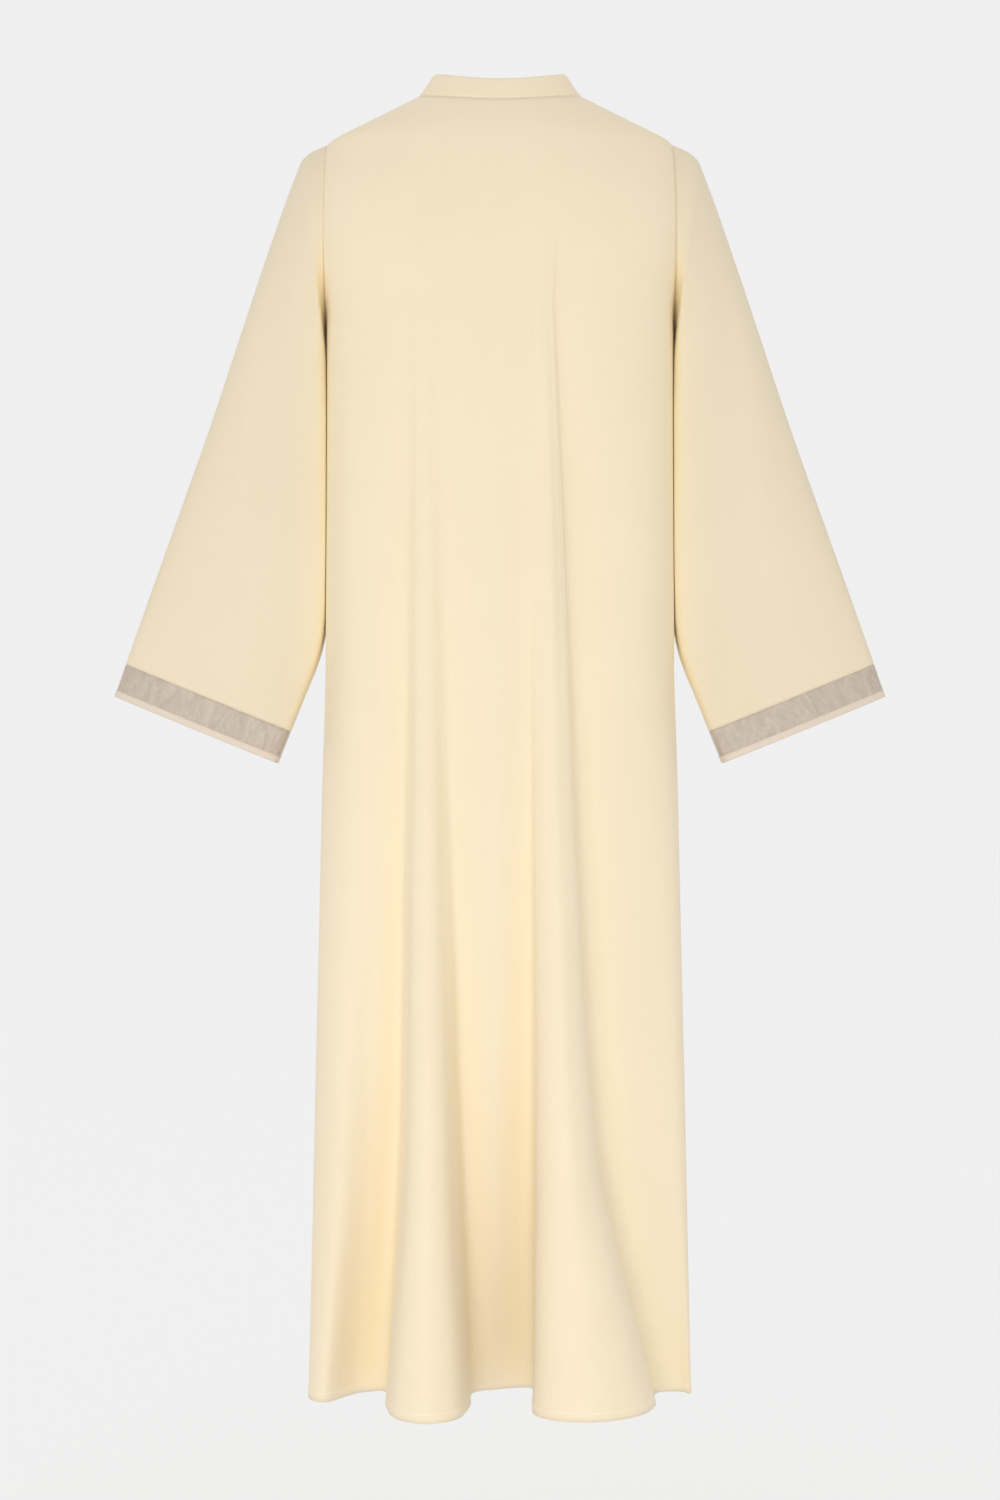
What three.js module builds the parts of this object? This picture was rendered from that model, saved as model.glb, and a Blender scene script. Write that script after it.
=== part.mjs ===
// Abaya: a long, loose outer robe with a low band collar, wide set-in sleeves and sheer sleeve bands.
// It is filled out as if worn, with nobody in it, and hangs from the shoulders.
// Millimetres, +Z up. The wearer faces -Y, so the back panel is on the +Y side, and +X is the wearer's
// left. The origin is the middle of the neck base, level with the highest points of the shoulder seams.
import * as THREE from "three";

// ---- Cloth -------------------------------------------------------------------------------------
const BODY_WALL = 1.6; // crepe, with the air that its folds hold
const BAND_WALL = 1.3; // sheer sleeve band and collar band
const SEAM_GAP = 0.3; // between the walls of two pieces that are sewn together
const CREPE = { color: 0xf3e6cb, roughness: 0.62, metalness: 0 };
const ORGANZA = { color: 0xc6b7a5, roughness: 0.4, metalness: 0 };

// ---- Neck, shoulders and armholes ---------------------------------------------------------------
const NECK_HALF_WIDTH = 90;
const SHOULDER_HALF_WIDTH = 187; // to the armhole seam
const SHOULDER_DROP = 50; // from the neck to the end of the shoulder seam
const ARMHOLE_DEPTH = 200; // straight down, from the shoulder seam to the underarm
const UNDERARM_Z = -(SHOULDER_DROP + ARMHOLE_DEPTH);
const ARMHOLE_REACH = 60; // to the back and to the front of the shoulder seam
const ARMHOLE_POINTING = 1.5; // 1 is an ellipse, more draws its top and its underarm to soft points
const ARMHOLE_SQUEEZE = 2.6; // how few of the body's lines the armhole pushes aside: the higher, the fewer
const HEM_Z = -1394;
const KNEE_Z = -1080;

// ---- The smooth body under the folds: one row for each level ------------------------------------
// halfWidth is at the side seams, back and front are how far each side reaches from the seam plane,
// square is the exponent of the rounded section (2 is an ellipse).
const BODY_LEVELS = [
  { z: 0, halfWidth: NECK_HALF_WIDTH, back: 45, front: 34, square: 2.0 },
  { z: -15, halfWidth: 118, back: 60, front: 45, square: 2.0 },
  { z: -SHOULDER_DROP, halfWidth: SHOULDER_HALF_WIDTH, back: 84, front: 69, square: 2.15 },
  { z: -72, halfWidth: SHOULDER_HALF_WIDTH, back: 92, front: 80, square: 2.3 },
  { z: -120, halfWidth: SHOULDER_HALF_WIDTH, back: 103, front: 99, square: 2.7 },
  { z: -180, halfWidth: SHOULDER_HALF_WIDTH, back: 108, front: 111, square: 3.0 },
  { z: UNDERARM_Z, halfWidth: SHOULDER_HALF_WIDTH, back: 108, front: 116, square: 3.0 },
  { z: -420, halfWidth: SHOULDER_HALF_WIDTH, back: 105, front: 113, square: 2.8 },
  { z: -600, halfWidth: SHOULDER_HALF_WIDTH, back: 104, front: 112, square: 2.6 },
  { z: -757, halfWidth: 192, back: 105, front: 114, square: 2.5 },
  { z: -870, halfWidth: 195, back: 105, front: 115, square: 2.4 },
  { z: -1130, halfWidth: 201, back: 105, front: 117, square: 2.3 },
  { z: HEM_Z, halfWidth: 206, back: 105, front: 118, square: 2.3 },
];

// The two sides of the body. facing is the side's direction along Y, neckReach is how far the neck
// edge goes that way at the centre line.
const BACK = { facing: 1, depth: "back", neckReach: 60 };
const FRONT = { facing: -1, depth: "front", neckReach: 80 };

// ---- Folds ---------------------------------------------------------------------------------------
// Each row is one line that runs down the cloth: a crest, the bottom of a valley, or a flank between.
// bust, knee and hem are its places across the panel at those levels. out is how far it stands out
// of the smooth body at the hem (minus: in), and power how late on the way down it gets there.
const FOLD_START_Z = -150;
const BACK_FOLDS = [
  { line: "side round, left", bust: 182, knee: 193, hem: 202, out: 10, power: 2 },
  { line: "side roll crest, left", bust: 163, knee: 167, hem: 187, out: -2, power: 1 },
  { line: "side roll, inner flank", bust: 124, knee: 133, hem: 152, out: -66, power: 3.2 },
  { line: "valley 1", bust: 95, knee: 108, hem: 125, out: -84, power: 2.2 },
  { line: "ridge 1, outer flank", bust: 91, knee: 100, hem: 120, out: -28, power: 1.8 },
  { line: "ridge 1, outer shoulder", bust: 87, knee: 91, hem: 107, out: 19, power: 2.2 },
  { line: "ridge 1, crest", bust: 81, knee: 76, hem: 77, out: 32, power: 2.2 },
  { line: "ridge 1, inner shoulder", bust: 75, knee: 60, hem: 47, out: 14, power: 2.2 },
  { line: "ridge 1, inner flank", bust: 70, knee: 47, hem: 32, out: -40, power: 2.5 },
  { line: "valley 2, left", bust: 64, knee: 39, hem: 28, out: -95, power: 2.8 },
  { line: "valley 2, middle", bust: 18, knee: 5, hem: 2, out: -108, power: 3.6 },
  { line: "valley 2, right", bust: -29, knee: -32, hem: -33, out: -113, power: 3 },
  { line: "ridge 2, sharp edge", bust: -35, knee: -39, hem: -37, out: -4, power: 1.5 },
  { line: "ridge 2, first crest", bust: -41, knee: -52, hem: -62, out: 20, power: 1.8 },
  { line: "ridge 2, second crest", bust: -46, knee: -69, hem: -104, out: 30, power: 1.8 },
  { line: "ridge 2, outer shoulder", bust: -51, knee: -84, hem: -145, out: 20, power: 2.2 },
  { line: "ridge 2, outer flank", bust: -55, knee: -95, hem: -163, out: -8, power: 1.5 },
  { line: "valley 3", bust: -60, knee: -104, hem: -168, out: -56, power: 1 },
  { line: "right hollow", bust: -105, knee: -142, hem: -186, out: -48, power: 1.2 },
  { line: "side roll crest, right", bust: -163, knee: -176, hem: -198, out: -28, power: 1.4 },
  { line: "side round, right", bust: -182, knee: -194, hem: -204, out: -4, power: 2 },
];
const FRONT_EDGE = { bust: 1.5, knee: 5.5, hem: 8 }; // half of the opening between the two fronts
const FRONT_EDGE_RIGHT = { bust: -FRONT_EDGE.bust, knee: -FRONT_EDGE.knee, hem: -FRONT_EDGE.hem };
const FRONT_LEFT_FOLDS = [
  { line: "side round", bust: 182, knee: 193, hem: 202, out: 0, power: 1 },
  { line: "side roll crest", bust: 163, knee: 175, hem: 186, out: -2, power: 1 },
  { line: "valley 1, outer side", bust: 142, knee: 157, hem: 166, out: -38, power: 2.1 },
  { line: "valley 1, inner side", bust: 126, knee: 140, hem: 148, out: -46, power: 2.1 },
  { line: "ridge 1, outer shoulder", bust: 112, knee: 124, hem: 132, out: 4, power: 1.8 },
  { line: "ridge 1, crest", bust: 97, knee: 103, hem: 108, out: 22, power: 2 },
  { line: "ridge 1, inner shoulder", bust: 84, knee: 83, hem: 84, out: 4, power: 2 },
  { line: "valley 2, outer side", bust: 72, knee: 70, hem: 71, out: -48, power: 2.3 },
  { line: "valley 2, inner side", bust: 58, knee: 53, hem: 52, out: -46, power: 2.3 },
  { line: "ridge 2, crest", bust: 34, knee: 33, hem: 32, out: 8, power: 2 },
  { line: "front edge", ...FRONT_EDGE, out: -2, power: 1.5 },
];
const FRONT_RIGHT_FOLDS = [
  { line: "side round", bust: -182, knee: -193, hem: -203, out: 0, power: 1 },
  { line: "side roll crest", bust: -161, knee: -177, hem: -191, out: -8, power: 1.4 },
  { line: "valley 1, outer side", bust: -134, knee: -162, hem: -176, out: -32, power: 1.6 },
  { line: "valley 1, inner side", bust: -116, knee: -146, hem: -160, out: -42, power: 1.8 },
  { line: "ridge 1, outer shoulder", bust: -104, knee: -130, hem: -144, out: 0, power: 1.8 },
  { line: "ridge 1, crest", bust: -88, knee: -105, hem: -118, out: 20, power: 2.2 },
  { line: "ridge 1, inner shoulder", bust: -74, knee: -85, hem: -94, out: 6, power: 2 },
  { line: "valley 2, outer side", bust: -62, knee: -73, hem: -82, out: -46, power: 2.4 },
  { line: "valley 2, inner side", bust: -48, knee: -55, hem: -62, out: -42, power: 2.4 },
  { line: "ridge 2, crest", bust: -28, knee: -33, hem: -40, out: 6, power: 1.8 },
  { line: "front edge", ...FRONT_EDGE_RIGHT, out: 4, power: 1.5 },
];

// ---- Sleeves: rings from the armhole to the seam of the sleeve band --------------------------------
// Each row is one ring: its outer point and its inner point (for the left sleeve, x y z), halfDepth,
// how far the tube stands out to the back and to the front of the line between them, and pointing:
// 1 is an ellipse, more draws it to points as the armhole has, less squares it off.
const ARMHOLE_X = SHOULDER_HALF_WIDTH + SEAM_GAP;
const SLEEVE_RINGS = [
  {
    outer: [ARMHOLE_X, 0, -SHOULDER_DROP],
    inner: [ARMHOLE_X, 0, UNDERARM_Z],
    halfDepth: ARMHOLE_REACH,
    pointing: ARMHOLE_POINTING,
  },
  { outer: [202, 0, -57], inner: [188.4, -2, -258], halfDepth: 61, pointing: 1.32 },
  { outer: [212.5, 0, -66], inner: [188.7, -4, -270], halfDepth: 61, pointing: 1.15 },
  { outer: [219, 0, -81], inner: [188.8, -6, -286], halfDepth: 59, pointing: 1.02 },
  { outer: [233.5, -1, -120], inner: [188.8, -8, -312], halfDepth: 55, pointing: 0.9 },
  { outer: [256, -2, -185], inner: [188.5, -9, -350], halfDepth: 50, pointing: 0.8 },
  { outer: [282.5, -3, -264], inner: [188, -10, -398], halfDepth: 45, pointing: 0.75 },
  { outer: [312, -4, -352], inner: [188, -10, -455], halfDepth: 40, pointing: 0.72 },
  { outer: [345, -5, -444], inner: [188, -10, -518], halfDepth: 35, pointing: 0.72 },
  { outer: [375.5, -6, -528], inner: [194, -10, -594], halfDepth: 30, pointing: 0.75 },
  { outer: [396, -7, -585], inner: [214, -10, -650], halfDepth: 26, pointing: 0.8 },
  { outer: [405, -8, -610], inner: [227, -10, -682.5], halfDepth: 24, pointing: 0.8 },
];
const SLEEVE_BAND_END = { outer: [417, -8, -645], inner: [241, -10, -717], halfDepth: 22, pointing: 0.8 };

// ---- Collar --------------------------------------------------------------------------------------
const COLLAR_HEIGHT_BACK = 24;
const COLLAR_HEIGHT_SIDE = 25;
const COLLAR_TOP_SHARE = 0.806; // width of the top edge over the width of the base
const COLLAR_TOP_SHARE_BACK = 0.84; // reach of the top edge to the back, over that of the base

// ---- How finely each piece is drawn ----------------------------------------------------------------
const COLUMN_WIDTH = 32; // along the hem
const ROW_STRETCHES = [
  { to: -SHOULDER_DROP, rows: 4, ease: 0 },
  { to: UNDERARM_Z, rows: 9, ease: 0.5 }, // ease draws the rows together at the ends of the armhole
  { to: HEM_Z, rows: 14, ease: 0 },
];
const SLEEVE_SIDES = 24;

/** A column of a table at height z, smoothly through its rows, which run from the top down. */
function smoothColumn(table, key, z) {
  const last = table.length - 1;
  let low = table.findIndex((row) => row.z <= z);
  if (low < 0) low = last;
  if (low === 0) low = 1;
  const high = low - 1;
  const span = table[low].z - table[high].z;
  const share = THREE.MathUtils.clamp((z - table[high].z) / span, 0, 1);
  const secant = (row) => (table[row + 1][key] - table[row][key]) / (table[row + 1].z - table[row].z);
  const slope = (row) => {
    if (row === 0) return secant(0);
    if (row === last) return secant(last - 1);
    const [before, after] = [secant(row - 1), secant(row)];
    return before * after > 0 ? (2 * before * after) / (before + after) : 0; // never past a neighbour
  };
  const square = share * share;
  const cube = square * share;
  return (
    (2 * cube - 3 * square + 1) * table[high][key] +
    (cube - 2 * square + share) * slope(high) * span +
    (3 * square - 2 * cube) * table[low][key] +
    (cube - square) * slope(low) * span
  );
}

/** How far the armhole reaches from the shoulder plane at height z, 0 above and below it. */
function armholeReach(z) {
  const middle = -(SHOULDER_DROP + ARMHOLE_DEPTH / 2);
  const share = (z - middle) / (ARMHOLE_DEPTH / 2);
  return Math.abs(share) < 1 ? ARMHOLE_REACH * (1 - share * share) ** (ARMHOLE_POINTING / 2) : 0;
}

/** The smooth section at height z: its half width, its reach and its exponent. Along the armhole the
 * section is widened so that the cloth meets the seam at the shoulder's width. */
function sectionAt(side, z) {
  const reach = smoothColumn(BODY_LEVELS, side.depth, z);
  const square = smoothColumn(BODY_LEVELS, "square", z);
  const cut = armholeReach(z) / reach;
  const shoulderWidth = NECK_HALF_WIDTH - (z * (SHOULDER_HALF_WIDTH - NECK_HALF_WIDTH)) / SHOULDER_DROP;
  const seamWidth = z > -SHOULDER_DROP ? shoulderWidth : smoothColumn(BODY_LEVELS, "halfWidth", z);
  const halfWidth = seamWidth / Math.pow(1 - Math.pow(cut, square), 1 / square);
  return { halfWidth, reach, square, seamTurn: Math.atan2(seamWidth / halfWidth, cut) };
}

/** The point of a smooth section at an angle from the centre line. */
function sectionPoint(section, facing, turn) {
  const { square } = section;
  const sine = Math.sin(turn);
  const cosine = Math.cos(turn);
  const roundness = Math.pow(Math.abs(sine) ** square + Math.abs(cosine) ** square, 1 / square);
  return [(section.halfWidth * sine) / roundness, (facing * section.reach * cosine) / roundness];
}

/** The angle of the point of a smooth section that lies at x. */
function turnAt(section, x) {
  const across = THREE.MathUtils.clamp(x / section.halfWidth, -1, 1);
  const out = Math.pow(1 - Math.abs(across) ** section.square, 1 / section.square);
  return Math.atan2(across, out);
}

/** The angle of a line above the underarm: the lines next to the armhole give way to it the most. */
function squeezedTurn(section, share) {
  const rightAngle = Math.PI / 2;
  const giveWay = Math.abs(share) ** ARMHOLE_SQUEEZE * (rightAngle - section.seamTurn);
  return share * rightAngle - Math.sign(share) * giveWay;
}

/** Where a fold line starts: the height at which it meets the neck edge. */
function neckHeight(side, share) {
  let above = 0;
  let below = -SHOULDER_DROP * 2;
  for (let step = 0; step < 40; step += 1) {
    const z = (above + below) / 2;
    const section = sectionAt(side, z);
    const [x, y] = sectionPoint(section, side.facing, squeezedTurn(section, share));
    const inside = (x / NECK_HALF_WIDTH) ** 2 + (y / side.neckReach) ** 2 < 1;
    if (inside) above = z;
    else below = z;
  }
  return (above + below) / 2;
}

/** The place of a fold line across the panel at height z, below the underarm. */
function foldPlace(fold, z) {
  const table = [
    { z: UNDERARM_Z, x: fold.bust },
    { z: KNEE_Z, x: fold.knee },
    { z: HEM_Z, x: fold.hem },
  ];
  return smoothColumn(table, "x", z);
}

/** A point of the line that runs down the cloth at an angle: share is the angle at the underarm over the
 * angle of the side seam there. Near the neck the row at level rowZ bends down to the neck edge. */
function linePoint(side, share, rowZ, fold) {
  const neckFade = 170; // the bend dies out this far below the neck
  const z = rowZ + neckHeight(side, share) * Math.max(0, 1 + rowZ / neckFade);
  const section = sectionAt(side, z);
  const isPlaced = fold && z < UNDERARM_Z;
  const turn = isPlaced ? turnAt(section, foldPlace(fold, z)) : squeezedTurn(section, share);
  const [x, y] = sectionPoint(section, side.facing, turn);
  const growth = Math.max(0, (FOLD_START_Z - z) / (FOLD_START_Z - HEM_Z));
  const out = fold ? fold.out * growth ** fold.power : 0;
  return new THREE.Vector3(x, y + side.facing * (out + SEAM_GAP / 2), z);
}

/** The points of one row of a panel's lines: its seam edges, as shares of the angle, and its folds. */
function rowPoints(side, { startShare, folds, endShare }, level) {
  const underarm = sectionAt(side, UNDERARM_Z);
  const shareOf = (fold) => turnAt(underarm, fold.bust) / (Math.PI / 2);
  const foldPoints = folds.map((fold) => linePoint(side, shareOf(fold), level, fold));
  return [
    ...(startShare ? [linePoint(side, startShare, level)] : []),
    ...foldPoints,
    ...(endShare ? [linePoint(side, endShare, level)] : []),
  ];
}

/** The levels of a panel's rows, from the neck to the hem. */
function rowLevels(stretches) {
  const levels = [0];
  for (const { to, rows, ease } of stretches) {
    const from = levels.at(-1);
    for (let row = 1; row <= rows; row += 1) {
      const even = row / rows;
      const drawnIn = (1 - Math.cos(Math.PI * even)) / 2;
      levels.push(THREE.MathUtils.lerp(from, to, THREE.MathUtils.lerp(even, drawnIn, ease)));
    }
  }
  return levels;
}

/** The outer points of a body panel: a grid with a row for each level. Wide spans between two lines get
 * more columns than narrow ones. */
function panelGrid(side, lines) {
  const hem = rowPoints(side, lines, HEM_Z);
  const stops = [];
  for (let line = 0; line < hem.length - 1; line += 1) {
    const columns = Math.max(1, Math.round(hem[line].distanceTo(hem[line + 1]) / COLUMN_WIDTH));
    for (let column = 0; column < columns; column += 1) stops.push(line + column / columns);
  }
  stops.push(hem.length - 1);
  return rowLevels(ROW_STRETCHES).map((level) => {
    const row = new THREE.CatmullRomCurve3(rowPoints(side, lines, level), false, "centripetal");
    return stops.map((stop) => row.getPoint(stop / (hem.length - 1)));
  });
}

/** The outer points of one ring of a sleeve. mirror is 1 for the left sleeve and -1 for the right. */
function ringPoints({ outer, inner, halfDepth, pointing }, mirror) {
  const from = new THREE.Vector3(...outer);
  const to = new THREE.Vector3(...inner);
  const middle = from.clone().add(to).multiplyScalar(0.5);
  const half = from.clone().sub(to).multiplyScalar(0.5);
  return Array.from({ length: SLEEVE_SIDES }, (_, side) => {
    const turn = (2 * Math.PI * side) / SLEEVE_SIDES;
    const point = middle.clone().addScaledVector(half, Math.cos(turn));
    point.y += halfDepth * Math.sign(Math.sin(turn)) * Math.abs(Math.sin(turn)) ** pointing;
    point.x *= mirror;
    return point;
  });
}

/** The outer points of the collar band. Its foot follows the neck edges of the panels, which are given
 * from the left front edge round the back to the right front edge. */
function collarGrid(neckEdges) {
  const foot = neckEdges.flatMap((edge, index) => (index === 0 ? edge : edge.slice(1)));
  const base = foot.map((point) => point.clone().add(new THREE.Vector3(0, 0, SEAM_GAP)));
  const top = foot.map(({ x, y, z }) => {
    const backness = Math.max(0, y / BACK.neckReach) ** 2;
    const height = THREE.MathUtils.lerp(COLLAR_HEIGHT_SIDE, COLLAR_HEIGHT_BACK, backness);
    const share = THREE.MathUtils.lerp(COLLAR_TOP_SHARE, COLLAR_TOP_SHARE_BACK, backness);
    const isEnd = Math.abs(x) <= FRONT_EDGE.bust;
    return new THREE.Vector3(isEnd ? x : x * share, y * share, z + height);
  });
  const middle = base.map((point, column) => point.clone().lerp(top[column], 0.5));
  return [top, middle, base];
}

/** Keeps the collar's thickness level along its foot and square to the centre line at its ends. */
function settleCollar(grid, normals) {
  for (const normal of normals.at(-1)) normal.setZ(0).normalize();
  for (const row of normals) {
    for (const normal of [row[0], row.at(-1)]) normal.setX(0).normalize();
  }
}

/** Each grid point's outward direction, averaged from the cells around it. */
function gridNormals(grid, isTube) {
  const rows = grid.length;
  const columns = grid[0].length;
  const normals = grid.map((row) => row.map(() => new THREE.Vector3()));
  const cells = isTube ? columns : columns - 1;
  for (let row = 0; row < rows - 1; row += 1) {
    for (let cell = 0; cell < cells; cell += 1) {
      const next = (cell + 1) % columns;
      const falling = grid[row + 1][next].clone().sub(grid[row][cell]);
      const rising = grid[row][next].clone().sub(grid[row + 1][cell]);
      const normal = falling.cross(rising).normalize();
      normals[row][cell].add(normal);
      normals[row][next].add(normal);
      normals[row + 1][cell].add(normal);
      normals[row + 1][next].add(normal);
    }
  }
  return normals.map((row) => row.map((normal) => normal.normalize()));
}

/** Turns the thickness of a panel's side edges into the plane of their seam. */
function settlePanel(grid, normals) {
  grid.forEach((row, index) => {
    for (const end of [0, row.length - 1]) {
      const point = row[end];
      const normal = normals[index][end];
      const onShoulderPlane = Math.abs(point.y) < SEAM_GAP;
      const onArmhole = !onShoulderPlane && point.z > UNDERARM_Z;
      const onFrontEdge = Math.abs(point.x) <= FRONT_EDGE.hem;
      if (onShoulderPlane) normal.y = 0;
      else if (onArmhole || onFrontEdge) normal.x = 0;
      normal.normalize();
    }
  });
}

/** Turns the thickness of a sleeve's top ring into the plane of the armhole. */
function settleSleeve(grid, normals) {
  for (const normal of normals[0]) normal.setX(0).normalize();
}

/** A closed wall: a grid of outer points, the same grid moved in by the thickness, and the rims.
 * settle may turn the directions in which the thickness goes along the edges. */
function wall(grid, thickness, { isTube = false, settle = () => {} } = {}) {
  const rows = grid.length;
  const columns = grid[0].length;
  const cells = isTube ? columns : columns - 1;
  const normals = gridNormals(grid, isTube);
  settle(grid, normals);
  const innerPoint = (point, normal) => point.clone().addScaledVector(normal, -thickness);
  const inner = grid.map((row, r) => row.map((point, column) => innerPoint(point, normals[r][column])));
  const positions = [...grid.flat(), ...inner.flat()].flatMap((point) => point.toArray());
  const outerAt = (row, column) => row * columns + (column % columns);
  const innerAt = (row, column) => rows * columns + outerAt(row, column);
  const triangles = [];
  const quad = (a, b, c, d) => triangles.push(a, b, c, a, c, d);
  for (let cell = 0; cell < cells; cell += 1) {
    for (let row = 0; row < rows - 1; row += 1) {
      quad(outerAt(row, cell), outerAt(row + 1, cell), outerAt(row + 1, cell + 1), outerAt(row, cell + 1));
      quad(innerAt(row, cell), innerAt(row, cell + 1), innerAt(row + 1, cell + 1), innerAt(row + 1, cell));
    }
    const last = rows - 1;
    quad(outerAt(0, cell), outerAt(0, cell + 1), innerAt(0, cell + 1), innerAt(0, cell));
    quad(outerAt(last, cell), innerAt(last, cell), innerAt(last, cell + 1), outerAt(last, cell + 1));
  }
  for (let row = 0; row < rows - 1 && !isTube; row += 1) {
    quad(outerAt(row, 0), innerAt(row, 0), innerAt(row + 1, 0), outerAt(row + 1, 0));
    quad(outerAt(row, cells), outerAt(row + 1, cells), innerAt(row + 1, cells), innerAt(row, cells));
  }
  const geometry = new THREE.BufferGeometry();
  geometry.setAttribute("position", new THREE.Float32BufferAttribute(positions, 3));
  geometry.setIndex(triangles);
  geometry.computeVertexNormals();
  return geometry;
}

/** A grid with each row the other way round, which turns its wall inside out. */
function reversed(grid) {
  return grid.map((row) => [...row].reverse());
}

/** One named piece of the garment. */
function piece(name, geometry, finish) {
  const mesh = new THREE.Mesh(geometry, new THREE.MeshStandardMaterial(finish));
  mesh.name = name;
  return mesh;
}

/** A sleeve and its band, for the wearer's left (mirror 1) or right (mirror -1). */
function sleeveWithBand(name, mirror) {
  const seam = SLEEVE_RINGS.at(-1);
  const bandLength = new THREE.Vector3(...seam.outer).distanceTo(new THREE.Vector3(...SLEEVE_BAND_END.outer));
  const seamStep = SEAM_GAP / bandLength;
  const alongBand = (edge) =>
    seam[edge].map((value, axis) => THREE.MathUtils.lerp(value, SLEEVE_BAND_END[edge][axis], seamStep));
  const bandStart = { ...seam, outer: alongBand("outer"), inner: alongBand("inner") };
  const outward = (grid) => (mirror > 0 ? grid : reversed(grid));
  const sleeve = outward(SLEEVE_RINGS.map((ring) => ringPoints(ring, mirror)));
  const band = outward([bandStart, SLEEVE_BAND_END].map((ring) => ringPoints(ring, mirror)));
  return [
    piece(`sleeve_${name}`, wall(sleeve, BODY_WALL, { isTube: true, settle: settleSleeve }), CREPE),
    piece(`cuff_${name}`, wall(band, BAND_WALL, { isTube: true }), ORGANZA),
  ];
}

const back = panelGrid(BACK, { startShare: 1, folds: BACK_FOLDS, endShare: -1 });
const frontLeft = reversed(panelGrid(FRONT, { startShare: 1, folds: FRONT_LEFT_FOLDS }));
const frontRight = panelGrid(FRONT, { startShare: -1, folds: FRONT_RIGHT_FOLDS });
const collar = collarGrid([frontLeft[0], back[0], frontRight[0]]);

const abaya = new THREE.Group();
abaya.add(
  piece("back", wall(back, BODY_WALL, { settle: settlePanel }), CREPE),
  piece("front_left", wall(frontLeft, BODY_WALL, { settle: settlePanel }), CREPE),
  piece("front_right", wall(frontRight, BODY_WALL, { settle: settlePanel }), CREPE),
  ...sleeveWithBand("left", 1),
  ...sleeveWithBand("right", -1),
  piece("collar", wall(collar, BAND_WALL, { settle: settleCollar }), CREPE),
);

export default abaya;
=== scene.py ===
"""Abaya in cream crepe with sheer sleeve bands, seen from the back, filled out with nobody in it.

Metres on the objects, millimetres in the tables. +Z is up, the wearer faces -Y and +X is the wearer's
left. The origin is the middle of the neck base. Each piece of cloth is a thin shell on the form of its
solid, drawn much finer, with its creases, its seams and its hems worked in.
"""
import logging
import math
from dataclasses import dataclass, field
from enum import Enum
from typing import ClassVar

import bpy
import numpy as np
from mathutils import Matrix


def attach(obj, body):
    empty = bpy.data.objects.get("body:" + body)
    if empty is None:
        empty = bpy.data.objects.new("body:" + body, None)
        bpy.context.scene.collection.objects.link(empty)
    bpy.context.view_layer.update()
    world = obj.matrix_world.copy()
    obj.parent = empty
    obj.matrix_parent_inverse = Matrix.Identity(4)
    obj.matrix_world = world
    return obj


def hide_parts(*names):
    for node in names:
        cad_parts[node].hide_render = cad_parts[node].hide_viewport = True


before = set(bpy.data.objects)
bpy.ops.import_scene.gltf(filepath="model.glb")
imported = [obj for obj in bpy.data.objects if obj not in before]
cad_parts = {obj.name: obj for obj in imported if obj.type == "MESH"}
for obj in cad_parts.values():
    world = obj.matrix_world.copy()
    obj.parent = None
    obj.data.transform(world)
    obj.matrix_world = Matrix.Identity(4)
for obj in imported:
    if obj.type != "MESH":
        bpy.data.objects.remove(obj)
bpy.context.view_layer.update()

LOG = logging.getLogger("abaya")
MM = 0.001  # metres in a millimetre

# ---- Cloth and cut, in millimetres ------------------------------------------------------------------
SEAM_GAP = 0.3
NECK_HALF_WIDTH = 90.0
SHOULDER_HALF_WIDTH = 187.0
SHOULDER_DROP = 50.0
ARMHOLE_DEPTH = 200.0
UNDERARM_Z = -(SHOULDER_DROP + ARMHOLE_DEPTH)
ARMHOLE_REACH = 60.0
ARMHOLE_POINTING = 1.5
ARMHOLE_SQUEEZE = 2.6
HEM_Z = -1394.0
KNEE_Z = -1080.0
FOLD_START_Z = -150.0
NECK_FADE = 170.0  # the bend of the rows towards the neck edge dies out this far below it
NECK_HALVINGS = 40  # steps in the search for the neck edge
RIGHT_ANGLE = math.pi / 2

# ---- Sewing, in millimetres: the turned hem's width, the stitches' way from their edge, their pitch ------
HEM_WIDTH = 9.0
FRONT_EDGE_STITCH = 6.0
BAND_STITCH = 7.2
COLLAR_STITCH = 5.6
BODY_PITCH = 3.4
FINE_PITCH = 3.0


class Side(Enum):
    """Which side of the garment a piece or a crease is on: its direction along Y."""

    BACK = 1
    FRONT = -1


class CreaseKind(Enum):
    """The cross-section of a crease."""

    RIDGE = "ridge"
    TROUGH = "trough"
    LAP = "lap"  # a ridge that leans over a trough on its -X side


@dataclass(frozen=True)
class Level:
    """The smooth body at one height: half width at the side seams, reach each way and squareness."""

    z: float
    half_width: float
    back: float
    front: float
    square: float


@dataclass(frozen=True)
class Fold:
    """One line that runs down the cloth: its places across at three heights and how far it stands out."""

    bust: float
    knee: float
    hem: float
    out: float  # at the hem
    power: float  # of the growth from nothing under the shoulders to the hem


@dataclass(frozen=True)
class Ring:
    """One ring of a sleeve: its outer and inner point, half its depth and how far it is drawn to points."""

    outer: tuple[float, float, float]
    inner: tuple[float, float, float]
    half_depth: float
    pointing: float = 1.0


@dataclass(frozen=True)
class Crease:
    """A soft crease: from its top to its bottom (x, z), its half width, its depth and its sideways bow."""

    side: Side
    kind: CreaseKind
    top: tuple[float, float]
    bottom: tuple[float, float]
    half_width: float
    depth: float
    bow: float = 0.0


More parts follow.
